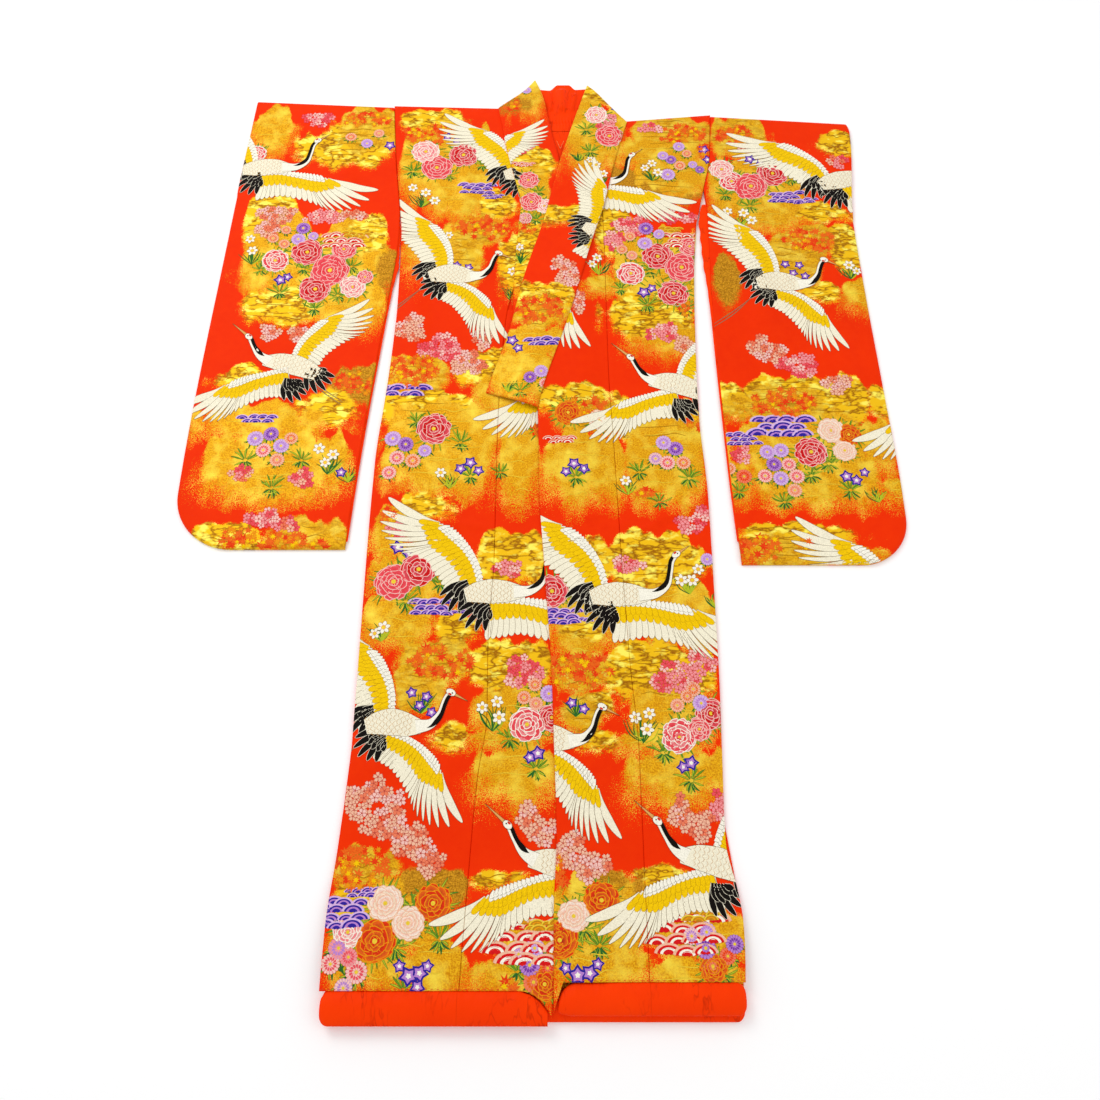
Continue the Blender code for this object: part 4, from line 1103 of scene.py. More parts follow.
def draw_chrysanthemum(figures, place, radius, kind):
    """Round flower of narrow petals in three rings."""
    dye, light = CHRYSANTHEMUMS[kind]
    figures.restart(1)
    for start, reach, petals, half, shade in ((0.30, 1.0, 17, 0.20, light), (0.16, 0.68, 13, 0.17, dye),
                                              (0.04, 0.40, 8, 0.15, light)):
        for i in range(petals):
            way = turned((radius, 0.0), 360.0 * i / petals + 7.0 * reach)
            line = mix(place + way * start, place + way * reach, np.array([0.0, 0.55, 0.88, 1.0])[:, None])
            figures.ribbon(line, radius * half * np.array([0.35, 0.9, 0.8, 0.1]), shade,
                           dye if shade is light else light)
        figures.level += PART_RISE / 3.0
    figures.disc(place, radius * 0.17, "gold", 8)


def draw_blossom(figures, place, radius, dye, line_dye, turn):
    """Small five-petalled blossom with notched petals."""
    for i in range(5):
        way = turned((radius, 0.0), turn + 72.0 * i)
        middle = place + way * 0.56
        side = turned(way, 90.0) * 0.50
        reach = way * 0.54
        ring = [middle - reach, middle + side * 0.8, middle + reach * 0.95 + side * 0.55,
                middle + reach * 0.72, middle + reach * 0.95 - side * 0.55, middle - side * 0.8]
        figures.blob(middle, ring, dye, line_dye, fine=0.8)
    figures.level += PART_RISE / 4.0
    figures.disc(place, radius * 0.2, "coral_line", 6)


BLOSSOM_RADIUS = 0.78


def draw_blossoms(figures, place, wide, tall, kind, rng):
    """Bough of small blossoms that fills an uneven patch."""
    mixes = {"peach": ("peach", "pale_pink", "peach", "coral"),
             "pink": ("pink", "rose", "pale_pink", "pink"), "coral": ("coral", "pink", "peach", "rose")}
    lines = {"peach": "coral_line", "pink": "red", "coral": "red"}
    count = int(2.9 * wide * tall / BLOSSOM_RADIUS ** 2)
    placed = []
    for _ in range(count * 9):
        spot = rng.uniform(-1.0, 1.0, 2)
        lobe = 0.86 + 0.16 * math.sin(3.0 * math.atan2(spot[1], spot[0]) + place[0])
        if np.hypot(*spot) > lobe:
            continue
        spot = place + spot * (wide, tall)
        if all(np.hypot(*(spot - other)) > BLOSSOM_RADIUS * 0.98 for other in placed):
            placed.append(spot)
        if len(placed) >= count:
            break
    for i, spot in enumerate(placed):
        figures.restart(0.35 * (i % 3))
        dye = mixes[kind][int(rng.integers(4))]
        size = BLOSSOM_RADIUS * rng.uniform(0.85, 1.1)
        draw_blossom(figures, spot, size, dye, lines[kind], rng.uniform(0, 72))


def draw_maple(figures, place, radius, dye, line_dye, turn):
    """Maple leaf with seven narrow lobes."""
    ring = []
    for i in range(7):
        heading = turn + (i - 3) * 46.0
        reach = radius * (1.0 - 0.09 * abs(i - 3))
        ring.append(place + turned((reach * 0.42, 0.0), heading - 23.0))
        ring.append(place + turned((reach, 0.0), heading))
    ring.append(place + turned((radius * 0.3, 0.0), turn + 180.0))
    figures.blob(place, ring, dye, line_dye)


def draw_maples(figures, place, wide, tall, rng):
    count = int(5.2 * wide * tall)
    for i in range(count):
        spot = rng.uniform(-1.0, 1.0, 2)
        if np.hypot(*spot) > 1.0:
            continue
        low = i < count * 0.45
        figures.restart(0.0 if low else 1.0 + 0.12 * (i % 4))
        turn = rng.uniform(0.0, 360.0)
        spot = place + spot * (wide, tall)
        size = rng.uniform(0.95, 1.3) if low else rng.uniform(0.65, 0.95)
        dyes = ("flame", "orange") if low else ("amber", "yellow", "amber", "orange")
        draw_maple(figures, spot, size * 1.1, dyes[i % len(dyes)], "orange" if low else "flame", turn)


def draw_narcissus(figures, place, radius, rng):
    figures.restart(1)
    turn = rng.uniform(0.0, 60.0)
    for i in range(6):
        way = turned((radius, 0.0), turn + 60.0 * i)
        figures.feather(place + way * 0.1, place + way, 0.1 * radius, 0.30 * radius, "ivory", "gold_line",
                        point=0.6, count=5)
    figures.level += PART_RISE / 3.0
    figures.disc(place, radius * 0.36, "gold", 8, line_dye="orange")


def draw_bellflower(figures, place, radius, rng):
    """Five-pointed flower with a dark rim."""
    figures.restart(1)
    turn = rng.uniform(0.0, 72.0)
    for grow, dye in ((1.0, "indigo"), (0.68, "lilac"), (0.3, "ivory")):
        figures.level += PART_RISE / 4.0
        ring = []
        for i in range(5):
            ring.append(place + turned((radius * grow, 0.0), turn + 72.0 * i))
            ring.append(place + turned((radius * grow * 0.62, 0.0), turn + 72.0 * i + 36.0))
        figures.blob(place, ring, dye)


def draw_arcs(figures, place, wide, rows, dyes, rng):
    """Overlapping banded arcs, row over row."""
    figures.restart(0)
    dark, light, pale = dyes
    for row in range(rows):
        count = 3 + (row + 1) % 2
        for i in range(count):
            size = wide * rng.uniform(0.26, 0.36)
            middle = place + ((i - (count - 1) / 2.0 + rng.uniform(-0.2, 0.2)) * wide * 0.40,
                              -row * wide * 0.22 + rng.uniform(-0.15, 0.15))
            angle = np.radians(np.linspace(8.0, 172.0, 13))
            arch = np.stack([np.cos(angle), np.sin(angle) * 0.72], axis=1) * size
            for share, width, dye in ((0.90, 0.10, pale), (0.70, 0.10, dark), (0.50, 0.10, light),
                                      (0.25, 0.15, dark)):
                figures.ribbon(middle + arch * share, size * width, dye)
            figures.level += PART_RISE / 8.0


def draw_leaves(figures, place, reach, count, dye, rng, spread_out=150.0, heading=90.0):
    figures.restart(0)
    for i in range(count):
        turn = heading + spread_out * ((i + 0.5) / count - 0.5) + rng.uniform(-8.0, 8.0)
        way = turned((reach * rng.uniform(0.7, 1.1), 0.0), turn)
        shade = dye if i % 2 else "lime"
        figures.feather(place + way * 0.15, place + way, 0.03, 0.13, shade, "leaf_deep",
                        bend=rng.uniform(-0.12, 0.12), point=0.7, count=6)


def draw_grass(figures, place, reach, count, dye, rng):
    figures.restart(0)
    for _ in range(count):
        turn = 90.0 + rng.uniform(-48.0, 48.0)
        way = turned((reach * rng.uniform(0.6, 1.1), 0.0), turn)
        bow = turned(way, 90.0) * rng.uniform(-0.18, 0.18)
        figures.stroke((place, place + way * 0.55 + bow, place + way), 0.2, dye, count=7)


def draw_water_lines(figures, place, wide, tall, rng, dye, rows):
    """Wavy lines that run along a gold bank."""
    figures.restart(0)
    for row in range(rows):
        level = (row + 0.5) / rows * 2.0 - 1.0
        reach = wide * math.sqrt(max(0.0, 1.0 - level * level)) * rng.uniform(0.6, 0.95)
        start = place + (-reach + rng.uniform(0.0, wide * 0.3), level * tall)
        xs = np.linspace(start[0], start[0] + reach * rng.uniform(1.0, 1.7), 5)
        ys = start[1] + rng.uniform(-0.32, 0.32, 5)
        figures.stroke(np.stack([xs, ys], axis=1), 0.16, dye, count=14)


# Where the motifs lie. Gold banks: left, top, right and bottom in the photograph, and the kind
GOLD = {
    "front_right": (
        (396, 106, 468, 128, "foil"), (396, 118, 500, 205, "sand"), (430, 176, 488, 218, "sand"),
        (476, 188, 520, 216, "foil"), (452, 210, 512, 240, "amber"), (500, 224, 540, 300, "foil"),
        (434, 222, 482, 286, "amber"), (400, 225, 425, 262, "sand"), (384, 350, 452, 392, "amber"),
        (372, 384, 470, 424, "foil"), (376, 396, 512, 470, "sand"), (384, 430, 500, 496, "sand"),
        (455, 345, 540, 385, "foil"), (470, 372, 548, 415, "sand"), (490, 420, 546, 500, "sand"),
        (392, 490, 452, 520, "foil"), (364, 505, 415, 560, "sand"), (372, 540, 470, 610, "sand"),
        (360, 588, 442, 648, "sand"), (430, 612, 480, 642, "foil"), (398, 636, 478, 678, "amber"),
        (468, 528, 552, 582, "foil"), (455, 638, 556, 690, "foil"), (392, 656, 446, 712, "amber"),
        (476, 676, 560, 750, "sand"), (428, 722, 464, 750, "foil"), (476, 742, 566, 804, "sand"),
        (470, 728, 512, 748, "sand"), (328, 846, 398, 896, "amber"), (396, 866, 470, 906, "bronze"),
        (322, 880, 420, 996, "sand"), (380, 890, 456, 960, "sand"), (398, 940, 474, 1004, "sand"),
        (470, 955, 570, 1004, "sand"), (496, 920, 570, 960, "sand"), (462, 872, 530, 888, "foil"),
        (336, 880, 380, 905, "foil")),
    "front_left": (
        (625, 112, 716, 150, "amber"), (618, 128, 700, 172, "sand"), (606, 160, 712, 200, "bronze"),
        (640, 150, 714, 196, "sand"), (596, 200, 632, 252, "foil"), (604, 228, 712, 318, "sand"),
        (604, 288, 700, 336, "foil"), (586, 272, 620, 292, "sand"), (690, 222, 716, 300, "foil"),
        (636, 318, 706, 352, "sand"), (536, 382, 618, 414, "foil"), (552, 396, 626, 432, "amber"),
        (538, 428, 628, 504, "sand"), (612, 392, 712, 440, "foil"), (616, 420, 712, 504, "sand"),
        (640, 404, 712, 470, "sand"), (586, 528, 712, 590, "foil"), (640, 580, 722, 650, "sand"),
        (544, 580, 616, 662, "sand"), (560, 618, 606, 640, "foil"), (612, 638, 664, 664, "foil"),
        (544, 650, 618, 690, "amber"), (608, 640, 712, 702, "foil"), (630, 680, 722, 756, "sand"),
        (584, 690, 612, 714, "foil"), (560, 690, 600, 738, "amber"), (582, 726, 616, 750, "foil"),
        (632, 746, 730, 806, "sand"), (620, 732, 664, 752, "sand"), (566, 870, 648, 908, "bronze"),
        (544, 872, 640, 996, "sand"), (560, 940, 650, 1004, "sand"), (640, 955, 760, 1004, "sand"),
        (660, 906, 760, 966, "sand"), (628, 866, 694, 886, "foil"), (548, 884, 600, 960, "sand")),
    "sleeve_right": (
        (244, 104, 300, 150, "sand"), (296, 124, 396, 164, "foil"), (330, 102, 400, 150, "amber"),
        (240, 190, 300, 246, "foil"), (232, 214, 330, 300, "sand"), (300, 214, 392, 310, "sand"),
        (344, 212, 388, 250, "foil"), (372, 244, 396, 290, "bronze"), (238, 284, 340, 322, "foil"),
        (300, 280, 392, 326, "sand"), (330, 362, 392, 402, "bronze"), (212, 362, 270, 390, "foil"),
        (298, 386, 362, 422, "foil"), (188, 400, 326, 440, "sand"), (190, 424, 352, 498, "sand"),
        (206, 440, 336, 502, "sand"), (184, 520, 264, 562, "foil"), (258, 516, 350, 562, "amber")),
    "sleeve_left": (
        (714, 112, 770, 158, "amber"), (714, 150, 800, 226, "sand"), (736, 192, 812, 228, "sand"),
        (792, 200, 846, 220, "foil"), (780, 222, 840, 254, "amber"), (818, 128, 858, 152, "foil"),
        (826, 222, 872, 268, "foil"), (756, 238, 818, 286, "amber"), (804, 280, 840, 300, "foil"),
        (714, 254, 740, 300, "bronze"), (842, 276, 880, 306, "sand"), (722, 372, 892, 424, "foil"),
        (728, 382, 830, 424, "amber"), (730, 408, 894, 480, "sand"), (734, 446, 892, 506, "sand"),
        (888, 474, 912, 500, "sand"), (738, 520, 856, 548, "foil"), (742, 530, 836, 570, "amber"),
        (826, 540, 884, 568, "sand")),
    "collar_right": (
        (500, 70, 545, 112, "sand"), (500, 92, 532, 112, "bronze"), (506, 146, 560, 176, "foil"),
        (500, 160, 552, 236, "sand"), (506, 216, 548, 300, "foil")),
    "collar_left": (
        (580, 74, 624, 104, "foil"), (560, 98, 626, 176, "sand"), (530, 204, 612, 224, "foil"),
        (594, 200, 622, 262, "foil"), (508, 282, 576, 310, "foil"), (506, 292, 572, 330, "amber"),
        (496, 326, 566, 364, "sand"), (486, 350, 560, 404, "sand")),
}
# Cranes: photo place, kind, turn in degrees, size
CRANE_PLACES = {
    "front_right": (
        (511, 168, "rising", 0, 0.92), (450, 275, "turning", 0, 1.0), (575, 377, "gliding", 0, 1.0),
        (474, 587, "rising", 0, 1.0), (391, 728, "turning", 0, 1.0), (555, 865, "gliding", 0, 1.0)),
    "front_left": (
        (571, 176, "rising", 0, 0.95), (528, 282, "turning", 0, 1.0), (671, 382, "gliding", 0, 1.0),
        (600, 590, "rising", 0, 1.0), (545, 743, "turning", 0, 1.0), (708, 861, "gliding", 0, 1.0)),
    "sleeve_right": ((249, 163, "rising", 0, 1.0), (283, 362, "gliding", 0, 1.0)),
    "sleeve_left": (
        (826, 178, "rising", 14, 1.0), (780, 283, "turning", 0, 1.0), (950, 398, "gliding", 0, 1.0),
        (900, 608, "rising", 0, 1.0)),
    "collar_right": ((482, 164, "gliding", 0, 0.85),),
    "collar_left": ((591, 227, "rising", -45, 0.8),),
}
# Peonies: photo place, radius in cm, colouring
PEONY_PLACES = {
    "front_right": (
        (425, 148, 3.0, "pale"), (436, 164, 3.3, "rose"), (463, 152, 3.2, "red"), (433, 426, 3.2, "red"),
        (393, 580, 3.4, "rose"), (418, 567, 3.2, "red"), (527, 723, 2.9, "pink"), (552, 716, 2.4, "red"),
        (385, 903, 2.7, "cream"), (433, 903, 2.9, "flame"), (408, 923, 2.5, "cream"),
        (348, 932, 2.3, "pale"), (375, 941, 3.2, "flame"), (545, 984, 2.4, "flame"),
        (548, 425, 2.8, "flame")),
    "front_left": (
        (631, 270, 2.8, "pink"), (658, 253, 3.2, "red"), (682, 264, 3.5, "rose"), (674, 290, 3.1, "red"),
        (690, 243, 2.3, "rose"), (568, 412, 2.6, "flame"), (600, 418, 2.2, "cream"), (552, 590, 3.0, "red"),
        (680, 735, 2.9, "pink"), (712, 712, 2.6, "red"), (700, 728, 2.0, "rose"), (602, 900, 2.8, "flame"),
        (574, 916, 2.4, "cream"), (560, 940, 2.8, "flame"), (714, 968, 2.2, "flame")),
    "sleeve_right": (
        (306, 249, 3.2, "red"), (274, 258, 2.7, "pink"), (343, 247, 2.5, "rose"), (329, 268, 3.9, "rose"),
        (314, 286, 3.3, "red"), (352, 284, 2.6, "pale"), (364, 274, 1.7, "rose"), (255, 150, 2.2, "pink")),
    "sleeve_left": (
        (722, 166, 2.6, "pale"), (732, 178, 2.6, "pink"), (751, 184, 3.5, "rose"), (773, 170, 3.3, "red"),
        (812, 450, 3.0, "red"), (832, 428, 2.6, "cream"), (850, 432, 2.4, "flame"),
        (846, 448, 2.2, "cream")),
    "collar_right": (
        (528, 178, 2.2, "rose"), (531, 200, 2.4, "rose"), (544, 204, 1.9, "pale"), (525, 216, 1.4, "red")),
    "collar_left": ((596, 113, 2.4, "pale"), (609, 134, 3.0, "rose")),
}
# Chrysanthemums: photo place, radius in cm, colouring
CHRYSANTHEMUM_PLACES = {
    "front_right": (
        (392, 436, 1.6, "lilac"), (405, 442, 1.5, "purple"), (396, 455, 1.5, "rose"),
        (412, 458, 1.5, "orange"), (424, 448, 1.3, "lilac"), (388, 470, 1.4, "rose"),
        (535, 683, 1.2, "orange"), (524, 696, 1.2, "orange"), (536, 702, 1.2, "coral"),
        (549, 692, 1.5, "lilac"), (339, 948, 1.6, "mauve"), (349, 957, 1.4, "pink"),
        (331, 964, 1.5, "rose"), (357, 972, 1.7, "rose"), (344, 988, 1.4, "pale"), (519, 954, 1.3, "pale"),
        (535, 948, 1.5, "lilac"), (530, 965, 1.6, "purple"), (534, 982, 1.6, "copper"),
        (548, 968, 1.3, "flame")),
    "front_left": (
        (679, 143, 1.3, "lilac"), (663, 152, 1.2, "lilac"), (671, 156, 1.2, "purple"),
        (687, 150, 1.1, "orange"), (680, 162, 1.3, "orange"), (668, 171, 1.6, "lilac"),
        (693, 161, 1.0, "lilac"), (700, 166, 1.0, "purple"), (646, 225, 1.6, "purple"),
        (645, 240, 1.6, "lilac"), (659, 231, 1.2, "lilac"), (630, 233, 1.2, "orange"),
        (622, 246, 1.2, "orange"), (632, 252, 1.2, "coral"), (664, 440, 1.5, "lilac"),
        (676, 446, 1.5, "purple"), (668, 460, 1.5, "rose"), (684, 460, 1.4, "orange"),
        (656, 456, 1.3, "pale"), (708, 557, 1.2, "lilac"), (688, 695, 1.2, "orange"),
        (678, 704, 1.2, "coral"), (702, 702, 1.5, "lilac"), (694, 688, 1.3, "orange"),
        (692, 936, 1.3, "pale"), (707, 932, 1.5, "lilac"), (706, 948, 1.6, "purple"),
        (713, 966, 1.6, "copper"), (728, 956, 1.3, "flame"), (735, 944, 1.4, "purple")),
    "sleeve_right": (
        (350, 134, 1.3, "orange"), (366, 140, 1.3, "lilac"), (378, 130, 1.2, "coral"),
        (285, 227, 1.1, "orange"), (272, 236, 1.2, "orange"), (283, 241, 1.2, "orange"),
        (302, 225, 1.5, "purple"), (297, 236, 1.5, "lilac"), (312, 233, 1.1, "lilac"),
        (254, 436, 1.6, "lilac"), (270, 432, 1.5, "purple"), (262, 448, 1.5, "rose"),
        (280, 444, 1.5, "lilac"), (290, 436, 1.3, "orange"), (276, 458, 1.4, "coral")),
    "sleeve_left": (
        (768, 450, 1.5, "lilac"), (782, 448, 1.5, "lilac"), (775, 462, 1.5, "purple"),
        (790, 462, 1.4, "rose"), (766, 474, 1.4, "rose"), (782, 476, 1.5, "lilac"), (798, 474, 1.5, "rose"),
        (796, 488, 1.4, "coral"), (745, 474, 1.5, "flame"), (730, 466, 1.3, "orange")),
    "collar_right": ((526, 87, 1.1, "lilac"),),
    "collar_left": ((541, 372, 1.4, "lilac"), (530, 378, 1.3, "purple"), (545, 384, 1.2, "rose")),
}
# Blossom boughs: photo place, half width and half height in cm, colouring
BLOSSOM_PLACES = {
    "front_right": (
        (410, 326, 3.2, 3.4, "peach"), (440, 345, 4.6, 3.2, "pink"), (468, 360, 3.6, 2.8, "peach"),
        (482, 335, 2.0, 2.6, "peach"), (398, 527, 2.2, 1.6, "pink"), (507, 566, 3.0, 1.6, "pink"),
        (523, 670, 3.4, 3.0, "pink"), (375, 788, 2.0, 2.0, "peach"), (358, 800, 2.6, 2.6, "peach"),
        (392, 797, 2.2, 1.6, "peach"), (383, 822, 4.2, 2.8, "peach"), (412, 842, 3.6, 3.0, "peach"),
        (430, 862, 2.4, 2.0, "peach"), (528, 816, 1.8, 2.4, "peach"), (542, 832, 2.4, 2.2, "peach")),
    "front_left": (
        (650, 124, 2.4, 1.6, "pink"), (632, 222, 4.0, 2.6, "pink"), (614, 236, 2.2, 2.6, "pink"),
        (676, 214, 4.4, 1.6, "pink"), (664, 330, 3.4, 2.2, "pink"), (686, 342, 2.6, 1.6, "peach"),
        (690, 522, 3.2, 1.8, "pink"), (704, 510, 1.6, 1.6, "pink"), (628, 562, 2.8, 1.4, "pink"),
        (676, 676, 4.2, 3.0, "pink"), (702, 662, 2.6, 2.4, "pink"), (572, 852, 3.2, 3.0, "peach"),
        (592, 866, 2.8, 2.4, "peach"), (682, 812, 1.9, 2.6, "peach"), (700, 826, 2.8, 2.6, "peach"),
        (722, 806, 2.0, 2.6, "pink"), (575, 300, 2.0, 3.0, "peach")),
    "sleeve_right": (
        (318, 116, 3.6, 2.0, "pink"), (276, 212, 4.4, 2.4, "peach"), (268, 226, 2.8, 2.6, "peach"),
        (322, 214, 4.6, 1.8, "pink"), (352, 212, 3.2, 1.2, "peach"), (268, 330, 2.0, 1.8, "peach"),
        (296, 330, 1.8, 1.8, "peach"), (262, 516, 3.6, 1.8, "pink"), (286, 522, 2.0, 1.4, "coral"),
        (240, 470, 2.2, 1.8, "coral"), (300, 476, 2.4, 1.8, "coral")),
    "sleeve_left": (
        (748, 144, 2.0, 1.4, "peach"), (838, 158, 2.2, 1.8, "coral"), (770, 350, 3.6, 2.4, "peach"),
        (800, 362, 4.4, 2.8, "pink"), (838, 382, 3.0, 2.0, "peach"), (760, 342, 2.2, 1.8, "peach"),
        (742, 452, 1.6, 1.8, "pink")),
    "collar_right": ((520, 146, 3.0, 1.4, "pink"),),
    "collar_left": (
        (568, 276, 2.4, 3.0, "peach"), (560, 264, 1.8, 1.8, "peach"), (604, 120, 2.8, 2.2, "pink")),
}
# Maple boughs: photo place, half width and half height in cm
MAPLE_PLACES = {
    "front_right": (
        (430, 130, 6.0, 2.8), (482, 224, 5.4, 3.2), (410, 368, 5.4, 3.6), (440, 660, 5.6, 3.0),
        (360, 866, 4.6, 3.2), (384, 512, 1.6, 1.8), (425, 238, 2.0, 2.0), (508, 985, 1.4, 1.0)),
    "front_left": (
        (682, 130, 5.6, 2.6), (706, 148, 1.6, 2.0), (588, 408, 5.4, 2.4), (580, 668, 5.6, 3.2),
        (560, 870, 1.8, 2.4), (700, 418, 2.6, 2.0), (690, 305, 2.6, 2.2), (648, 490, 2.2, 1.2)),
    "sleeve_right": (
        (366, 116, 5.2, 2.0), (356, 380, 4.0, 2.6), (290, 544, 6.6, 2.4), (236, 536, 3.4, 2.0)),
    "sleeve_left": (
        (736, 132, 4.2, 3.0), (810, 238, 5.4, 2.8), (785, 400, 6.2, 3.2), (762, 546, 4.0, 2.4),
        (820, 540, 4.0, 1.6)),
    "collar_right": ((512, 100, 2.4, 2.2), (530, 225, 1.6, 1.6)),
    "collar_left": ((540, 310, 5.0, 3.6),),
}
# Narcissi: photo place, radius in cm
NARCISSUS_PLACES = {
    "front_right": (
        (412, 184, 1.1), (425, 189, 1.2), (434, 197, 1.2), (512, 268, 1.1), (520, 282, 1.0),
        (448, 232, 1.0), (383, 626, 1.2), (374, 632, 1.0), (482, 706, 1.1), (497, 700, 1.1),
        (499, 716, 1.2), (440, 470, 1.1)),
    "front_left": (
        (645, 165, 1.0), (652, 160, 1.1), (658, 169, 1.2), (597, 255, 1.1), (592, 262, 1.0),
        (682, 578, 1.2), (693, 578, 1.2), (699, 567, 1.1), (636, 716, 1.1), (650, 712, 1.1),
        (648, 728, 1.2), (626, 478, 1.1)),
    "sleeve_right": ((249, 236, 1.1), (251, 248, 1.2), (318, 446, 1.2), (332, 452, 1.2), (324, 460, 1.1)),
    "sleeve_left": ((728, 208, 1.1), (744, 210, 1.2), (752, 218, 1.2), (850, 262, 1.2), (858, 268, 1.0)),
    "collar_right": ((519, 245, 1.0),),
    "collar_left": ((596, 163, 1.1), (603, 172, 1.1), (590, 158, 0.9)),
}
# Bellflowers: photo place, radius in cm
BELL_PLACES = {
    "front_right": (
        (447, 133, 1.3), (456, 137, 1.3), (397, 545, 1.5), (408, 551, 1.3), (470, 460, 1.4),
        (460, 466, 1.3), (478, 468, 1.2), (538, 752, 1.4), (530, 756, 1.2), (409, 976, 1.6),
        (420, 973, 1.5), (418, 987, 1.3), (400, 966, 1.1), (428, 966, 1.1), (411, 691, 1.1),
        (426, 695, 1.1), (419, 704, 1.1), (431, 711, 1.1), (456, 262, 1.1), (468, 264, 1.1),
        (462, 272, 1.1)),
    "front_left": (
        (704, 146, 1.4), (708, 156, 1.3), (644, 289, 1.5), (652, 285, 1.2), (574, 462, 1.4),
        (584, 467, 1.3), (566, 470, 1.2), (692, 762, 1.4), (684, 766, 1.2), (578, 975, 1.6),
        (590, 973, 1.5), (566, 968, 1.1), (598, 964, 1.1), (572, 702, 1.1), (584, 708, 1.1)),
    "sleeve_right": ((279, 277, 1.5), (286, 274, 1.2), (389, 142, 1.4), (340, 470, 1.2)),
    "sleeve_left": (
        (750, 157, 1.4), (761, 160, 1.2), (786, 261, 1.1), (800, 262, 1.1), (794, 270, 1.1),
        (806, 273, 1.1), (848, 474, 1.4), (858, 478, 1.3), (866, 470, 1.1)),
    "collar_right": (),
    "collar_left": ((512, 340, 1.4), (518, 348, 1.2), (616, 106, 1.3)),
}
# Banded arcs: photo place, width in cm, rows, colouring
ARC_PLACES = {
    "front_right": (
        (477, 183, 4.4, 3, "violet"), (493, 193, 2.6, 2, "violet"), (404, 388, 5.6, 2, "violet"),
        (430, 602, 4.6, 3, "violet"), (452, 612, 3.2, 1, "violet"), (338, 904, 5.4, 4, "violet"),
        (362, 892, 3.6, 2, "violet"), (528, 930, 7.6, 4, "red"), (541, 925, 4.0, 2, "gold")),
    "front_left": (
        (684, 234, 5.6, 3, "red"), (672, 226, 3.0, 2, "gold"), (560, 612, 4.6, 3, "violet"),
        (578, 620, 3.2, 1, "violet"), (686, 922, 7.2, 4, "red"), (700, 915, 4.0, 2, "gold"),
        (560, 438, 3.6, 2, "red")),
    "sleeve_right": ((342, 235, 5.6, 3, "red"), (356, 232, 3.6, 2, "gold"), (256, 416, 4.4, 2, "violet")),
    "sleeve_left": (
        (787, 192, 4.6, 3, "violet"), (804, 198, 3.4, 2, "violet"), (782, 420, 7.0, 3, "violet"),
        (744, 434, 4.0, 3, "violet")),
    "collar_right": ((524, 162, 3.0, 2, "red"),),
    "collar_left": ((542, 342, 4.6, 2, "violet"),),
}
# Leaf sprays: photo place, reach in cm, number of leaves
LEAF_PLACES = {
    "front_right": (
        (412, 168, 3.0, 9), (448, 172, 2.6, 7), (482, 162, 2.4, 7), (460, 440, 3.0, 9), (416, 420, 2.6, 7),
        (440, 582, 2.6, 8), (405, 600, 3.2, 9), (510, 738, 2.8, 8), (536, 768, 3.0, 9), (412, 914, 3.2, 10),
        (396, 948, 3.4, 9), (440, 940, 3.0, 9), (404, 990, 2.4, 7), (518, 972, 2.2, 7), (470, 474, 2.8, 8),
        (500, 470, 2.2, 6)),
    "front_left": (
        (650, 268, 2.8, 8), (621, 286, 2.4, 7), (686, 306, 3.0, 8), (648, 302, 3.0, 9), (700, 272, 2.4, 6),
        (563, 594, 2.4, 7), (664, 752, 2.8, 8), (692, 780, 3.0, 9), (584, 930, 3.2, 9), (600, 946, 3.0, 9),
        (576, 990, 2.4, 7), (724, 976, 2.4, 7), (576, 476, 3.0, 9), (690, 476, 3.0, 9), (640, 470, 2.8, 8),
        (660, 500, 2.4, 6)),
    "sleeve_right": (
        (350, 264, 2.8, 8), (302, 266, 2.6, 7), (260, 268, 2.4, 7), (337, 294, 2.8, 8), (313, 306, 2.8, 8),
        (278, 290, 2.8, 8), (244, 458, 3.0, 8), (300, 458, 2.8, 8), (270, 486, 3.0, 9)),
    "sleeve_left": (
        (726, 192, 2.8, 8), (793, 176, 2.6, 8), (750, 204, 3.0, 9), (830, 462, 3.0, 9), (852, 488, 3.0, 9),
        (812, 474, 2.8, 8), (740, 490, 2.6, 7), (786, 500, 2.6, 8)),
    "collar_right": ((538, 190, 2.2, 6), (536, 218, 2.2, 7)),
    "collar_left": ((586, 128, 2.6, 7), (590, 150, 2.8, 8), (520, 392, 2.2, 6), (548, 396, 2.2, 6)),
}
# Grass: photo place of its root, reach in cm, number of blades
GRASS_PLACES = {
    "front_right": (
        (420, 204, 4.0, 12), (516, 300, 4.6, 12), (458, 286, 3.4, 10), (380, 640, 3.6, 10),
        (492, 730, 4.6, 14), (420, 712, 4.0, 12), (345, 975, 3.0, 8), (448, 486, 3.4, 10)),
    "front_left": (
        (652, 178, 3.6, 12), (598, 272, 4.0, 12), (690, 592, 4.0, 14), (644, 742, 4.6, 14),
        (576, 716, 3.6, 10), (628, 492, 3.4, 10), (716, 606, 3.0, 8)),
    "sleeve_right": ((250, 262, 4.4, 14), (326, 472, 4.6, 14), (346, 480, 3.4, 10), (250, 150, 2.6, 8)),
    "sleeve_left": ((740, 226, 4.0, 14), (852, 276, 3.6, 12), (790, 284, 3.4, 10), (880, 500, 3.4, 10)),
    "collar_right": ((520, 262, 4.0, 12),),
    "collar_left": ((600, 184, 3.4, 10), (578, 160, 3.0, 10), (508, 392, 2.8, 8)),
}
ARC_DYES = {"violet": ("indigo", "lilac", "pale_lilac"), "red": ("red", "ivory", "peach"),
            "gold": ("bronze", "amber", "gold")}
CLOTH_GROUPS = {
    "front_right": ("body_right", "okumi_right"), "front_left": ("body_left", "okumi_left"),
    "sleeve_right": ("sleeve_right",), "sleeve_left": ("sleeve_left",),
    "collar_right": ("collar_right",), "collar_left": ("collar_left", "collar_left_end"),
}


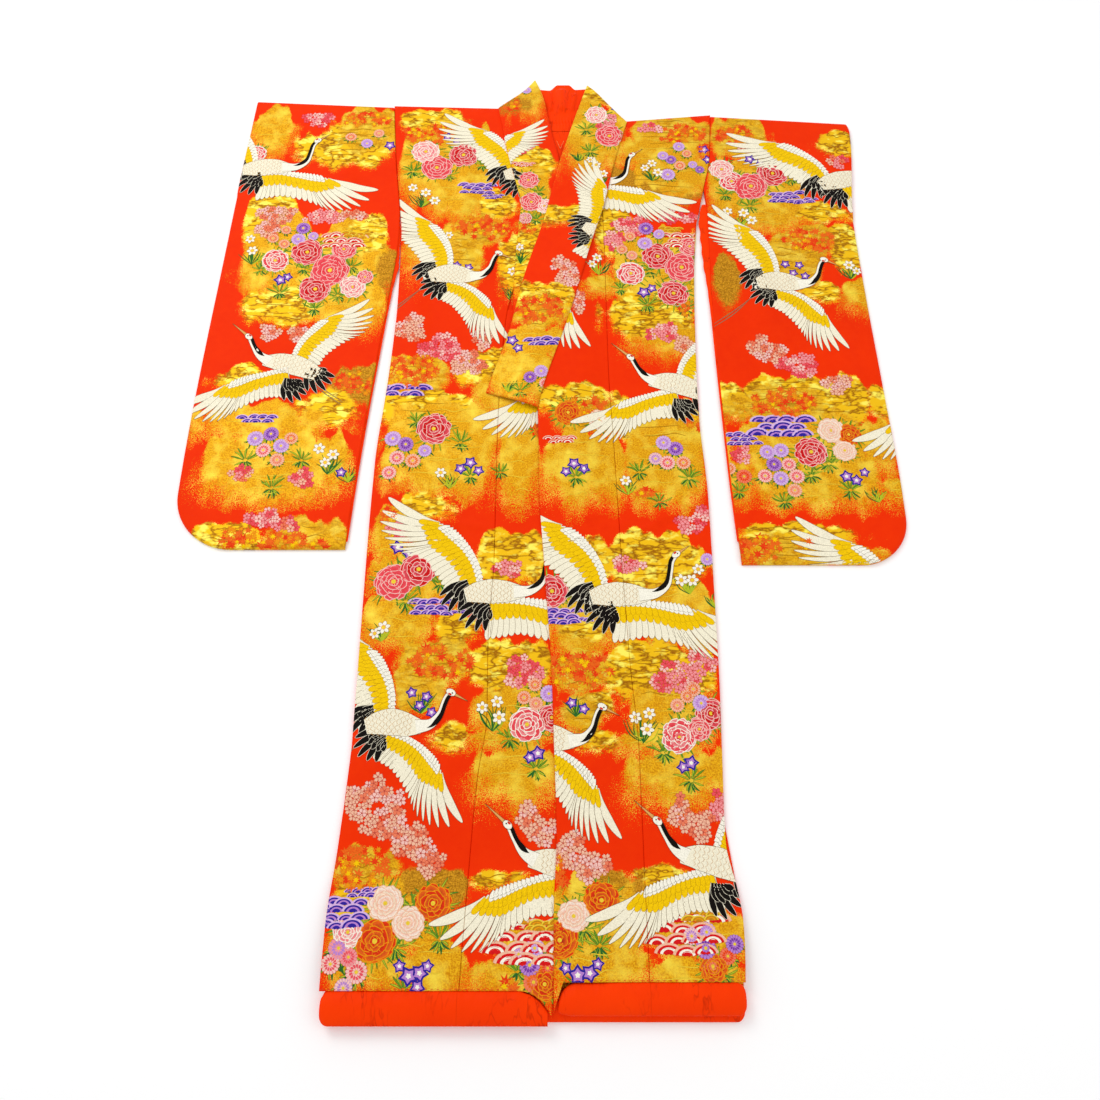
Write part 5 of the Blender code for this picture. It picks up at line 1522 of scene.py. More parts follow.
def draw_group(group):
    """All woven figures of one length of cloth."""
    rng = np.random.default_rng(sum(map(ord, group)))
    figures = Figures()
    for left, top, right, bottom, kind in GOLD[group]:
        low = photo_place(left, bottom)
        high = photo_place(right, top)
        middle = (low + high) / 2.0
        wide, tall = (high - low) / 2.0
        rows = max(3, int(tall * (1.1 if kind != "sand" else 0.7)))
        draw_water_lines(figures, middle, wide * 0.9, tall * 0.85, rng,
                         "gold_deep" if kind != "sand" else "gold", rows)
    for px, py, reach, count in GRASS_PLACES[group]:
        draw_grass(figures, photo_place(px, py), reach, count, "leaf_deep", rng)
        draw_grass(figures, photo_place(px + 1, py), reach * 0.8, count, "lime", rng)
    for px, py, wide, tall in MAPLE_PLACES[group]:
        draw_maples(figures, photo_place(px, py), wide, tall, rng)
    for px, py, reach, count in LEAF_PLACES[group]:
        draw_leaves(figures, photo_place(px, py), reach, count, "leaf", rng)
        draw_leaves(figures, photo_place(px, py), reach * 0.7, count, "leaf_deep", rng, 140.0, -90.0)
    for px, py, wide, rows, colouring in ARC_PLACES[group]:
        draw_arcs(figures, photo_place(px, py), wide, rows, ARC_DYES[colouring], rng)
    for px, py, wide, tall, kind in BLOSSOM_PLACES[group]:
        draw_blossoms(figures, photo_place(px, py), wide, tall, kind, rng)
    for px, py, radius, kind in PEONY_PLACES[group]:
        draw_leaves(figures, photo_place(px, py), radius * 1.45, 22, "leaf", rng, 360.0, -90.0)
    for px, py, radius, kind in CHRYSANTHEMUM_PLACES[group]:
        draw_leaves(figures, photo_place(px, py), radius * 1.5, 9, "leaf_deep", rng, 170.0, -90.0)
    for px, py, radius, kind in CHRYSANTHEMUM_PLACES[group]:
        draw_chrysanthemum(figures, photo_place(px, py), radius, kind)
    for px, py, radius, kind in PEONY_PLACES[group]:
        draw_peony(figures, photo_place(px, py), radius, kind, rng)
    for px, py, radius in NARCISSUS_PLACES[group]:
        draw_narcissus(figures, photo_place(px, py), radius, rng)
    for px, py, radius in BELL_PLACES[group]:
        draw_bellflower(figures, photo_place(px, py), radius, rng)
    for px, py, kind, turn, size in CRANE_PLACES[group]:
        bird = Figures()
        bird.shuffle = 0.04
        draw_crane(bird, kind, (0.0, 0.0))
        for patches in bird.corners:
            placed = spun(patches[:, :, :2], math.radians(turn)) * size + photo_place(px, py)
            patches[:, :, :2] = placed
        figures.corners += bird.corners
        figures.heights += bird.heights
    return figures


EDGE_CLEAR = 0.012


def part_of(rows, column, level, side):
    """Corners of the part of a patch that lies on one side of a level of a column."""
    over = side * (rows[:, column] - level)
    kept = []
    for i in range(len(rows)):
        after = (i + 1) % len(rows)
        if over[i] >= 0.0:
            kept.append(rows[i])
        if (over[i] >= 0.0) != (over[after] >= 0.0):
            kept.append(mix(rows[i], rows[after], over[i] / (over[i] - over[after])))
    return np.array(kept) if len(kept) >= 3 else None


# Columns of a patch's corners
DYE_COLUMNS = (3, 4, 5, 6)
LINE_COLUMNS = (7, 8, 9, 2)
LIFT_COLUMN = 10
EDGE_COLUMNS = (11, 12, 13, 14)


def keep_patches(panel, corners, lifts):
    """Patches that lie on a panel, cut at its edges and where the cloth starts to round down."""
    way = np.roll(corners, -1, axis=1)
    area = np.sum(corners[:, :, 0] * way[:, :, 1] - corners[:, :, 1] * way[:, :, 0], axis=1)
    corners = np.where((area < 0.0)[:, None, None], corners[:, ::-1], corners)
    distances = np.stack(panel.distances(corners[:, :, 0], corners[:, :, 1]), axis=2)
    high = np.broadcast_to(lifts[:, None, None], corners.shape[:2] + (1,))
    rows = np.concatenate([corners, high, distances], axis=2)
    rows = rows[(distances >= EDGE_CLEAR).any(axis=1).all(axis=1)]
    levels = [(column, EDGE_CLEAR) for column in EDGE_COLUMNS]
    levels += [(column, radius * share) for column, radius in zip(EDGE_COLUMNS, panel.rounded) if radius
               for share in (0.3, 1.0)]
    lowest = rows.min(axis=1)
    highest = rows.max(axis=1)
    crosses = np.stack([(lowest[:, column] < level) & (highest[:, column] > level)
                        for column, level in levels], axis=1)
    plain = ~crosses.any(axis=1)
    loops = list(rows[plain])
    for patch, crossing in zip(rows[~plain], crosses[~plain]):
        pieces = [patch]
        for (column, level), does in zip(levels, crossing):
            if does:
                outer = level > EDGE_CLEAR
                parts = [part_of(piece, column, level, side) for piece in pieces
                         for side in ((1.0, -1.0) if outer else (1.0,))]
                pieces = [part for part in parts if part is not None]
        loops += pieces
    return loops


def lay_figures(name, figures, surface, material):
    """Mesh of the patches that lie on one panel, lifted off its face."""
    corners = np.concatenate(figures.corners)
    lifts = np.concatenate(figures.heights)
    three = (np.abs(corners[:, 2] - corners[:, 3]) < 1e-9).all(axis=1)
    loops = keep_patches(PANELS[name], corners[three][:, :3], lifts[three])
    loops += keep_patches(PANELS[name], corners[~three], lifts[~three])
    sizes = np.array([len(loop) for loop in loops])
    table = np.concatenate(loops)
    x, y = table[:, 0], table[:, 1]
    points = to_world(x, y, surface(x, y) + table[:, LIFT_COLUMN])
    starts = np.concatenate([[0], np.cumsum(sizes)[:-1]])
    faces = [range(start, start + size) for start, size in zip(starts.tolist(), sizes.tolist())]
    mesh = bpy.data.meshes.new("figures_" + name)
    mesh.from_pydata(points.tolist(), [], [list(face) for face in faces])
    for label, columns in (("dye", DYE_COLUMNS), ("line", LINE_COLUMNS)):
        colour = mesh.attributes.new(label, "FLOAT_COLOR", "POINT")
        colour.data.foreach_set("color", table[:, columns].astype(np.float32).ravel())
    mesh.materials.append(material)
    mesh.shade_smooth()
    return link_object("figures_" + name, mesh)


# Golds of a bank. Columns: share of crinkled foil, share of dark bronze
GOLD_KINDS = {"sand": (0.0, 0.0), "foil": (1.0, 0.0), "amber": (0.35, 0.15), "bronze": (0.25, 1.0)}


def mark_gold(thing, group):
    """Point attribute of a cloth: depth into the gold (cm), softness, foil and bronze shares."""
    points = np.empty(len(thing.data.vertices) * 3)
    thing.data.vertices.foreach_get("co", points)
    x, y = to_cloth(points.reshape(-1, 3))
    marks = np.zeros((len(x), 4))
    marks[:, 0] = -9.0
    for left, top, right, bottom, kind in GOLD[group]:
        low, high = photo_place(left, bottom), photo_place(right, top)
        middle, half = (low + high) / 2.0, (high - low) / 2.0
        dx, dy = (x - middle[0]) / half[0], (y - middle[1]) / half[1]
        sway = 0.14 * np.sin(x * 0.8 + left) + 0.07 * np.sin(x * 2.1 + top)
        depth = (1.0 + sway - (np.abs(dx) ** 2.1 + np.abs(dy) ** 2.1) ** (1.0 / 2.1)) * min(half)
        foil, bronze = GOLD_KINDS[kind]
        soft = mix(0.2, 2.4 if kind == "sand" else 0.8, smooth(0.45 - 0.8 * dy))
        take = (depth > marks[:, 0]) | (depth > 0.35)
        marks[take, 1] = soft[take]
        marks[take, 2] = foil
        marks[take, 3] = bronze
        marks[:, 0] = np.maximum(marks[:, 0], depth)
    gold = thing.data.attributes.new("gold", "FLOAT_COLOR", "POINT")
    gold.data.foreach_set("color", marks.astype(np.float32).ravel())


def grid_surface(panel, columns, rows, heights):
    """Height of a laid grid at any place on its panel."""
    def surface(x, y):
        start, end = panel.start(y), panel.end(y)
        width = np.where(np.abs(end - start) < 0.01, 0.01, end - start)
        u = np.clip((x - start) / width, 0.0, 1.0)
        foot, head = panel.foot(u), panel.head(u)
        v = np.clip((y - foot) / (head - foot), 0.0, 1.0)
        i = np.clip(np.searchsorted(columns, u) - 1, 0, len(columns) - 2)
        j = np.clip(np.searchsorted(rows, v) - 1, 0, len(rows) - 2)
        s = (u - columns[i]) / (columns[i + 1] - columns[i])
        t = (v - rows[j]) / (rows[j + 1] - rows[j])
        low = mix(heights[j, i], heights[j, i + 1], s)
        high = mix(heights[j + 1, i], heights[j + 1, i + 1], s)
        return mix(low, high, t)

    return surface


def add_node(tree, kind, settings=None, links=None):
    """Add a node; settings name attributes or inputs, links give inputs their source socket."""
    made = tree.nodes.new(kind)
    for name, value in (settings or {}).items():
        if isinstance(name, str) and hasattr(made, name):
            setattr(made, name, value)
        else:
            made.inputs[name].default_value = value
    for name, source in (links or {}).items():
        tree.links.new(source, made.inputs[name])
    return made


SILK_SPECULAR = 0.04
PLAIN_SPECULAR = 0.5


def new_material(name, roughness, specular=SILK_SPECULAR):
    material = bpy.data.materials.new(name)
    material.use_nodes = True
    tree = material.node_tree
    shader = tree.nodes["Principled BSDF"]
    shader.inputs["Roughness"].default_value = roughness
    shader.inputs["Specular IOR Level"].default_value = specular
    return material, tree, shader


def mixed(tree, share, first, second):
    """Colour between two hex colours or sockets."""
    node = add_node(tree, "ShaderNodeMix", {"data_type": "RGBA"})
    for socket, value in ((0, share), (6, first), (7, second)):
        if isinstance(value, bpy.types.NodeSocket):
            tree.links.new(value, node.inputs[socket])
        else:
            if isinstance(value, str):
                value = linear(value)
            node.inputs[socket].default_value = tuple(value) + (1.0,) if isinstance(value, tuple) else value
    return node.outputs[2]


def worked(tree, operation, *values, clamp=False):
    """Result of a sum on numbers or sockets."""
    node = add_node(tree, "ShaderNodeMath", {"operation": operation, "use_clamp": clamp})
    for i, value in enumerate(values):
        if isinstance(value, bpy.types.NodeSocket):
            tree.links.new(value, node.inputs[i])
        else:
            node.inputs[i].default_value = value
    return node.outputs[0]


def stretched(tree, value, gain, shift):
    """A value spread out by a gain and a shift, and held between 0 and 1."""
    return worked(tree, "MULTIPLY_ADD", value, gain, shift, clamp=True)


def noise(tree, place, size_mm, detail=3.0, stretch=(1.0, 1.0, 1.0)):
    """Noise whose lumps are about a size in mm."""
    scaled = add_node(tree, "ShaderNodeMapping", {"Scale": stretch}, {"Vector": place})
    return add_node(tree, "ShaderNodeTexNoise", {"Scale": 1.0 / (size_mm * MM), "Detail": detail},
                    {"Vector": scaled.outputs["Vector"]}).outputs["Fac"]


def ribs(tree, place, wide_mm, sway):
    """Diagonal ribs of a weave."""
    scale = 1.0 / (wide_mm * MM) / 6.2832 * 2.0
    settings = {"Scale": scale, "Distortion": sway, "bands_direction": "DIAGONAL"}
    return add_node(tree, "ShaderNodeTexWave", settings, {"Vector": place}).outputs["Fac"]


def raise_relief(tree, shader, height, strength, depth_mm):
    bump = add_node(tree, "ShaderNodeBump", {"Strength": strength, "Distance": depth_mm * MM},
                    {"Height": height})
    tree.links.new(bump.outputs["Normal"], shader.inputs["Normal"])


def brocade_cloth(cloth):
    """Silk satin ground with a woven damask, and areas covered by flat gold thread and foil, with painted
    highlight patches on the thread and painted shade and glints in the foil's crinkles.

    Real satin has threads 0.1 mm apart; the rib is drawn 1.6 mm wide so that it shows.
    """
    if "brocade_satin_and_gold" in bpy.data.materials:
        return bpy.data.materials["brocade_satin_and_gold"]
    colours = dict(COLOURS, ground=tuple(cloth.ground), sand=tuple(cloth.gold), foil=tuple(cloth.foil))
    material, tree, shader = new_material("brocade_satin_and_gold", 0.5)
    place = add_node(tree, "ShaderNodeTexCoord").outputs["Object"]
    mark = add_node(tree, "ShaderNodeAttribute", {"attribute_name": "gold"})
    parts = add_node(tree, "ShaderNodeSeparateColor", {}, {"Color": mark.outputs["Color"]})
    depth, soft, foil = parts.outputs[0], parts.outputs[1], parts.outputs[2]
    bronze = mark.outputs["Alpha"]
    broad = noise(tree, place, 90.0)
    damask = noise(tree, place, 14.0, 2.0)
    ground = mixed(tree, broad, colours["ground_deep"], colours["ground"])
    ground = mixed(tree, worked(tree, "MULTIPLY", damask, 0.35), ground, colours["ground_light"])
    speck = noise(tree, place, 1.3, 1.0)
    sway = noise(tree, place, 26.0, 2.0)
    spray = worked(tree, "MULTIPLY", worked(tree, "SUBTRACT", speck, 0.5),
                   worked(tree, "MULTIPLY", soft, 7.0))
    edge = worked(tree, "MULTIPLY", worked(tree, "SUBTRACT", sway, 0.5), 2.2)
    inside = worked(tree, "ADD", depth, worked(tree, "ADD", spray, edge))
    is_gold = stretched(tree, inside, 5.0, 0.5)
    grain = noise(tree, place, 2.4, 3.0)
    patch = noise(tree, place, 30.0, 3.0)
    sand = mixed(tree, stretched(tree, grain, 3.2, -1.1), colours["sand_deep"], colours["sand"])
    # Lighter patches of the sand gold are painted highlight
    sand = mixed(tree, stretched(tree, patch, 3.0, -1.35), sand, colours["sand_painted_highlight"])
    # Dark lines along the foil's crinkles are painted shade
    creases = noise(tree, place, 17.0, 5.0, (0.5, 1.0, 1.0))
    near = worked(tree, "ABSOLUTE", worked(tree, "SUBTRACT", creases, 0.5))
    foil_with_painted_light = mixed(tree, worked(tree, "MULTIPLY", near, 15.0, clamp=True), colours["foil_painted_crease_shade"],
                      colours["foil"])
    # Bright spots on the foil are painted glints
    glint = noise(tree, place, 13.0, 4.0, (0.6, 1.0, 1.0))
    glint = stretched(tree, glint, 9.0, -4.7)
    foil_with_painted_light = mixed(tree, glint, foil_with_painted_light, colours["foil_painted_glint"])
    gold = mixed(tree, foil, sand, foil_with_painted_light)
    bronze_tone = mixed(tree, stretched(tree, grain, 3.0, -1.0), colours["bronze_deep"],
                        colours["bronze"])
    gold = mixed(tree, bronze, gold, bronze_tone)
    tree.links.new(mixed(tree, is_gold, ground, gold), shader.inputs["Base Color"])
    tree.links.new(worked(tree, "MULTIPLY", is_gold, 0.14), shader.inputs["Metallic"])
    tree.links.new(worked(tree, "MULTIPLY_ADD", is_gold, -0.12, 0.52), shader.inputs["Roughness"])
    rib = ribs(tree, place, 1.6, 0.6)
    relief = worked(tree, "MULTIPLY_ADD", is_gold, worked(tree, "ADD", grain, near), rib)
    raise_relief(tree, shader, relief, 0.25, 0.6)
    return material


def figured_silk():
    """Dyed silk and metal thread floats of the woven figures, in the colour that each patch brings.

    The twill of the floats is drawn 1.5 mm wide; the real one is about 0.3 mm.
    """
    material, tree, shader = new_material("figured_silk_floats", 0.5)
    place = add_node(tree, "ShaderNodeTexCoord").outputs["Object"]
    dye = add_node(tree, "ShaderNodeAttribute", {"attribute_name": "dye"})
    line = add_node(tree, "ShaderNodeAttribute", {"attribute_name": "line"})
    inward = worked(tree, "SUBTRACT", OUTLINE, line.outputs["Alpha"])
    is_line = stretched(tree, inward, 1.0 / 0.02, 0.5)
    tone = mixed(tree, is_line, dye.outputs["Color"], line.outputs["Color"])
    grain = noise(tree, place, 2.0, 2.0)
    shade = add_node(tree, "ShaderNodeMix", {"data_type": "RGBA", "blend_type": "MULTIPLY"},
                     {6: tone})
    shade.inputs[0].default_value = 0.28
    grain = stretched(tree, grain, 3.0, -1.0)
    tree.links.new(mixed(tree, grain, "#8C8C8C", "#FFFFFF"), shade.inputs[7])
    tree.links.new(shade.outputs[2], shader.inputs["Base Color"])
    tree.links.new(worked(tree, "MULTIPLY", dye.outputs["Alpha"], 0.2), shader.inputs["Metallic"])
    raise_relief(tree, shader, ribs(tree, place, 1.5, 0.5), 0.2, 0.4)
    return material


def lining_cloth(cloth):
    """Plain silk, smooth and slightly lustrous, with soft broad tone changes, and painted shade along thin
    crease lines in patches.
    """
    if "lining_plain_silk" in bpy.data.materials:
        return bpy.data.materials["lining_plain_silk"]
    colours = dict(COLOURS, lining=tuple(cloth.lining))
    material, tree, shader = new_material("lining_plain_silk", 0.5)
    place = add_node(tree, "ShaderNodeTexCoord").outputs["Object"]
    tone = mixed(tree, noise(tree, place, 60.0), colours["lining_deep"], colours["lining"])
    # Thin lines where the noise crosses its middle, in patches, get painted crease shade
    fold = worked(tree, "SUBTRACT", noise(tree, place, 22.0, 2.0, (1.5, 0.45, 1.0)), 0.5)
    fold = worked(tree, "ABSOLUTE", fold)
    fold = stretched(tree, fold, -24.0, 1.0)
    crease_shade_patches = stretched(tree, noise(tree, place, 48.0), 6.0, -2.9)
    tone = mixed(tree, worked(tree, "MULTIPLY", fold, worked(tree, "MULTIPLY", crease_shade_patches, 0.7)), tone,
                 colours["lining_painted_crease_shade"])
    tree.links.new(tone, shader.inputs["Base Color"])
    raise_relief(tree, shader, noise(tree, place, 13.0, 3.0, (1.5, 0.6, 1.0)), 0.35, 4.0)
    return material


def thread_silk(name, colour):
    """Sewing thread of twisted silk, which the eye sees as a row of small matt dots."""
    material, _, shader = new_material(name, 0.6, PLAIN_SPECULAR)
    shader.inputs["Base Color"].default_value = tuple(colour) + (1.0,)
    return material


COLOURS = {
    "ground": "#F23000", "ground_deep": "#E22600", "ground_light": "#FA4000",
    # The third lining colour is painted shade for the lining's creases
    "lining": "#FF4000", "lining_deep": "#F03200", "lining_painted_crease_shade": "#B82400",
    # The third sand colour is a painted highlight
    "sand": "#F2B81C", "sand_deep": "#C8800A", "sand_painted_highlight": "#F8DC48",
    # The second foil colour is painted shade in the crinkles, the third a painted glint
    "foil": "#F2BE18", "foil_painted_crease_shade": "#96560A", "foil_painted_glint": "#FFF060",
    "bronze": "#DC9C22", "bronze_deep": "#96600C",
}


def stitch_tree(material):
    """Geometry Nodes: a stitch at each step along the edges of a mesh."""
    tree = bpy.data.node_groups.new("seam_stitches", "GeometryNodeTree")
    tree.interface.new_socket("Geometry", in_out="INPUT", socket_type="NodeSocketGeometry")
    sockets = {}
    for name, default in (("Spacing", 0.009), ("Stitch length", 0.0045), ("Thread width", 0.0009)):
        socket = tree.interface.new_socket(name, in_out="INPUT", socket_type="NodeSocketFloat")
        socket.subtype = "DISTANCE"
        socket.default_value = default
        sockets[name] = socket.identifier
    tree.interface.new_socket("Geometry", in_out="OUTPUT", socket_type="NodeSocketGeometry")
    start = add_node(tree, "NodeGroupInput")
    line = add_node(tree, "GeometryNodeMeshToCurve", {}, {"Mesh": start.outputs["Geometry"]})
    steps = add_node(tree, "GeometryNodeResampleCurve", {"mode": "LENGTH"},
                     {"Curve": line.outputs[0], "Length": start.outputs["Spacing"]})
    tangent = add_node(tree, "GeometryNodeInputTangent")
    turn = add_node(tree, "FunctionNodeAlignRotationToVector", {"axis": "X"}, {"Vector": tangent.outputs[0]})
    size = add_node(tree, "ShaderNodeCombineXYZ", {}, {
        0: start.outputs["Stitch length"], 1: start.outputs["Thread width"],
        2: start.outputs["Thread width"]})
    thread = add_node(tree, "GeometryNodeMeshUVSphere", {"Segments": 8, "Rings": 5, "Radius": 0.5})
    placed = add_node(tree, "GeometryNodeInstanceOnPoints", {}, {
        "Points": steps.outputs[0], "Instance": thread.outputs[0], "Rotation": turn.outputs[0],
        "Scale": size.outputs[0]})
    real = add_node(tree, "GeometryNodeRealizeInstances", {}, {"Geometry": placed.outputs[0]})
    coloured = add_node(tree, "GeometryNodeSetMaterial", {"Material": material},
                        {"Geometry": real.outputs[0]})
    add_node(tree, "NodeGroupOutput", {}, {"Geometry": coloured.outputs[0]})
    return tree, sockets


STITCH_LIFT = 0.35


def sew(name, points, tree, sockets, spacing, length):
    """Stitches along a line of world points, as a plain mesh."""
    mesh = bpy.data.meshes.new(name + "_line")
    mesh.from_pydata(np.asarray(points).tolist(), [(i, i + 1) for i in range(len(points) - 1)], [])
    guide = link_object(name + "_line", mesh)
    modifier = guide.modifiers.new("stitches", "NODES")
    modifier.node_group = tree
    modifier[sockets["Spacing"]] = spacing
    modifier[sockets["Stitch length"]] = length
    bpy.context.view_layer.update()
    result = bpy.data.meshes.new_from_object(guide.evaluated_get(bpy.context.evaluated_depsgraph_get()))
    guide.modifiers.remove(modifier)
    bpy.data.objects.remove(guide)
    thing = link_object(name, result)
    thing.data.shade_smooth()
    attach(thing, BODY)
    return thing


def seam_points(name, xs, ys):
    """World points of a seam on a laid panel."""
    return to_world(xs, ys, SURFACES[name](xs, ys) + STITCH_LIFT)


# Seams above the rolls: panel, height of the hem line, from x, to x
HEM_SEAMS = (("body_left", HEM_LINE_LEFT, 15.8, 29.8), ("okumi_left", HEM_LINE_LEFT, 3.6, 15.3),
             ("body_right", HEM_LINE_RIGHT, -34.0, -13.8), ("okumi_right", HEM_LINE_RIGHT, -13.3, -4.6))
NAPE_X = np.array([1.9, 2.6, 3.3])
NAPE_Y = np.array([173.4, 171.4, 173.4])


def sew_seams(cloth):
    """Stitches along the hem seams, the collar's join and the nape."""
    tree, sockets = stitch_tree(thread_silk("red_sewing_thread_silk", [0.7 * part for part in cloth.lining]))
    spacing, length = cloth.stitch_spacing, cloth.stitch_spacing * 0.5
    for name, low, start, end in HEM_SEAMS:
        xs = np.linspace(start, end, 50)
        points = seam_points(name, xs, np.full_like(xs, low + 0.28))
        sew("hem_stitches_" + name, points, tree, sockets, spacing, length)
    share = np.linspace(0.06, 0.94, 40)
    ys = mix(COLLAR_JOIN[0][1], COLLAR_JOIN[1][1], share) + 0.3
    xs = mix(COLLAR_EDGES[0](ys), COLLAR_EDGES[1](ys), share)
    points = seam_points("collar_left", xs, ys)
    sew("collar_join_stitches", points, tree, sockets, spacing, length)
    nape = to_world(NAPE_X, NAPE_Y, np.full(3, FRONT_BASE + LINING + 0.5))
    tree, sockets = stitch_tree(thread_silk("pale_gold_thread_silk", linear("#F2B060")))
    sew("nape_stitches", nape, tree, sockets, spacing * 0.5, length)


def declare_cloth(node):
    """The finished cloth of a node rides with the body and replaces its solid."""
    thing = bpy.data.objects[node + "_cloth"]
    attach(thing, BODY)
    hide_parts(node)


def colour_setting(label, text, default):
    return bpy.props.FloatVectorProperty(name=label, description=text, subtype="COLOR", size=3,
                                         default=linear(default), min=0.0, max=1.0)


def length_setting(label, text, default, low, high):
    return bpy.props.FloatProperty(name=label, description=text, default=default, min=low, max=high,
                                   unit="LENGTH")


class ClothSettings(bpy.types.PropertyGroup):
    """Colours of the cloth and sizes that a maker would change."""

    ground: colour_setting("Ground", "Vermilion of the satin ground", COLOURS["ground"])
    lining: colour_setting("Lining", "Vermilion of the lining and the hem rolls", COLOURS["lining"])
    gold: colour_setting("Gold thread", "Flat gold thread of the hills and clouds", COLOURS["sand"])
    foil: colour_setting("Gold foil", "Crinkled foil of the clouds", COLOURS["foil"])
    mesh_step: length_setting("Cloth step", "Distance between the cloth's points", 0.007, 0.004, 0.02)
    hem_puckers: length_setting("Hem puckers", "Depth of the puckers on the hem rolls", 0.0014, 0.0, 0.003)
    stitch_spacing: length_setting("Stitch spacing", "Distance between stitches", 0.009, 0.004, 0.03)


class StageSettings(bpy.types.PropertyGroup):
    """Floor, light and camera."""

    floor_width: length_setting("Floor width", "Width of the square floor", 12.0, 3.0, 40.0)
    sky: bpy.props.FloatProperty(name="Soft light", description="Strength of the even light from all sides",
                                 default=0.8, min=0.0, max=3.0)
    key: bpy.props.FloatProperty(name="Key lamp", description="Power of the soft key lamp",
                                 default=38.0, min=0.0, max=300.0, subtype="POWER")
    camera_height: length_setting("Camera height", "Height of the camera", 1.63, 0.5, 5.0)


class LayFronts(bpy.types.Operator):
    """Lay the two body panels and the two overlap panels"""

    bl_idname = "uchikake.lay_fronts"
    bl_label = "Lay body and overlaps"

    def execute(self, context):
        cloth = context.scene.uchikake_cloth
        brocade = brocade_cloth(cloth)
        lay_body("body_left", straight(BACK_NECK_LEFT, 0.03), brocade)
        lay_body("body_right", straight(BACK_NECK_RIGHT, -0.03), brocade)
        for name in ("okumi_left", "okumi_right"):
            lay_panel(name, brocade, cloth.mesh_step / CM)
        return {"FINISHED"}


class LayCollars(bpy.types.Operator):
    """Lay the crossed collar bands, the gathered back collar and the neck's lining"""

    bl_idname = "uchikake.lay_collars"
    bl_label = "Lay collars"

    def execute(self, context):
        cloth = context.scene.uchikake_cloth
        for name in ("collar_left", "collar_left_end", "collar_right"):
            lay_panel(name, brocade_cloth(cloth), cloth.mesh_step / CM)
        lay_neck(lining_cloth(cloth))
        lay_neck_lining(lining_cloth(cloth))
        declare_cloth("collar_back")
        declare_cloth("neck_lining")
        return {"FINISHED"}


class LaySleeves(bpy.types.Operator):
    """Lay the hanging sleeves and the strips of lining in their open edges"""

    bl_idname = "uchikake.lay_sleeves"
    bl_label = "Lay sleeves"

    def execute(self, context):
        cloth = context.scene.uchikake_cloth
        for name in ("sleeve_left", "sleeve_right"):
            lay_sleeve(name, brocade_cloth(cloth))
        lining = lining_cloth(cloth)
        lay_sleeve_lining("sleeve_lining_left", SIDE_LEFT, EDGE_LEFT, LINING_SHOWS_LEFT, lining)
        lay_sleeve_lining("sleeve_lining_right", SIDE_RIGHT, EDGE_RIGHT, LINING_SHOWS_RIGHT, lining)
        declare_cloth("sleeve_lining_left")
        declare_cloth("sleeve_lining_right")
        return {"FINISHED"}


class RollHem(bpy.types.Operator):
    """Lay the padded rolls along the back and front hems"""

    bl_idname = "uchikake.roll_hem"
    bl_label = "Roll hem"

    def execute(self, context):
        cloth = context.scene.uchikake_cloth
        lining = lining_cloth(cloth)
        puckers = cloth.hem_puckers / MM
        rolls = {
            "hem_roll_back": roll_stations(ROLL_END_RIGHT, ROLL_END_BACK, ROLL_FOOT_BACK,
                                           HEM_LINE_BACK - SEAM, 1.2, 1.2),
            "hem_roll_left": roll_stations(ROLL_SEAM_LEFT + 0.01, ROLL_END_LEFT, ROLL_FOOT_LEFT,
                                           HEM_LINE_LEFT - SEAM, 0.0, 1.3),
            "hem_roll_left_okumi": left_corner_stations(),
            "hem_roll_right": roll_stations(ROLL_END_RIGHT, ROLL_SEAM_RIGHT - 0.01, ROLL_FOOT_RIGHT,
                                            HEM_LINE_RIGHT - SEAM, 1.3, 0.0),
            "hem_roll_right_okumi": right_corner_stations(),
        }
        for node, stations in rolls.items():
            back = node == "hem_roll_back"
            base = 0.0 if back else FRONT_ROLL_BASE
            height = BACK_ROLL_HEIGHT if back else FRONT_ROLL_HEIGHT
            roll = lay_roll(node + "_cloth", stations, base, height, lining, puckers)
            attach(roll, BODY)
            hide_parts(node)
        return {"FINISHED"}


class WeaveFigures(bpy.types.Operator):
    """Lay the gold and the woven cranes and flowers on the brocade panels"""

    bl_idname = "uchikake.weave_figures"
    bl_label = "Weave figures"

    def execute(self, context):
        silk = figured_silk()
        for group, nodes in CLOTH_GROUPS.items():
            figures = draw_group(group)
            for node in nodes:
                mark_gold(bpy.data.objects[node + "_cloth"], group)
                woven = lay_figures(node, figures, SURFACES[node], silk)
                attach(woven, BODY)
                declare_cloth(node)
        return {"FINISHED"}


class SewSeams(bpy.types.Operator):
    """Sew the stitches along the hem, the collar's join and the nape"""

    bl_idname = "uchikake.sew_seams"
    bl_label = "Sew seams"

    def execute(self, context):
        sew_seams(context.scene.uchikake_cloth)
        return {"FINISHED"}


class SetStage(bpy.types.Operator):
    """Set the pale floor, the soft lights and the camera"""

    bl_idname = "uchikake.set_stage"
    bl_label = "Set stage"

    def execute(self, context):
        make_stage(context.scene.uchikake_stage)
        return {"FINISHED"}


STEPS = (LayFronts, LayCollars, LaySleeves, RollHem, WeaveFigures, SewSeams, SetStage)


class SidebarPanel(bpy.types.Panel):
    """Settings and steps of the kimono"""

    bl_idname = "VIEW3D_PT_uchikake"
    bl_label = "Uchikake"
    bl_space_type = "VIEW_3D"
    bl_region_type = "UI"
    bl_category = "Uchikake"

    def draw(self, context):
        for settings in (context.scene.uchikake_cloth, context.scene.uchikake_stage):
            box = self.layout.box()
            for name in settings.__annotations__:
                box.prop(settings, name)
        for step in STEPS:
            self.layout.operator(step.bl_idname)


CLASSES = (ClothSettings, StageSettings) + STEPS + (SidebarPanel,)


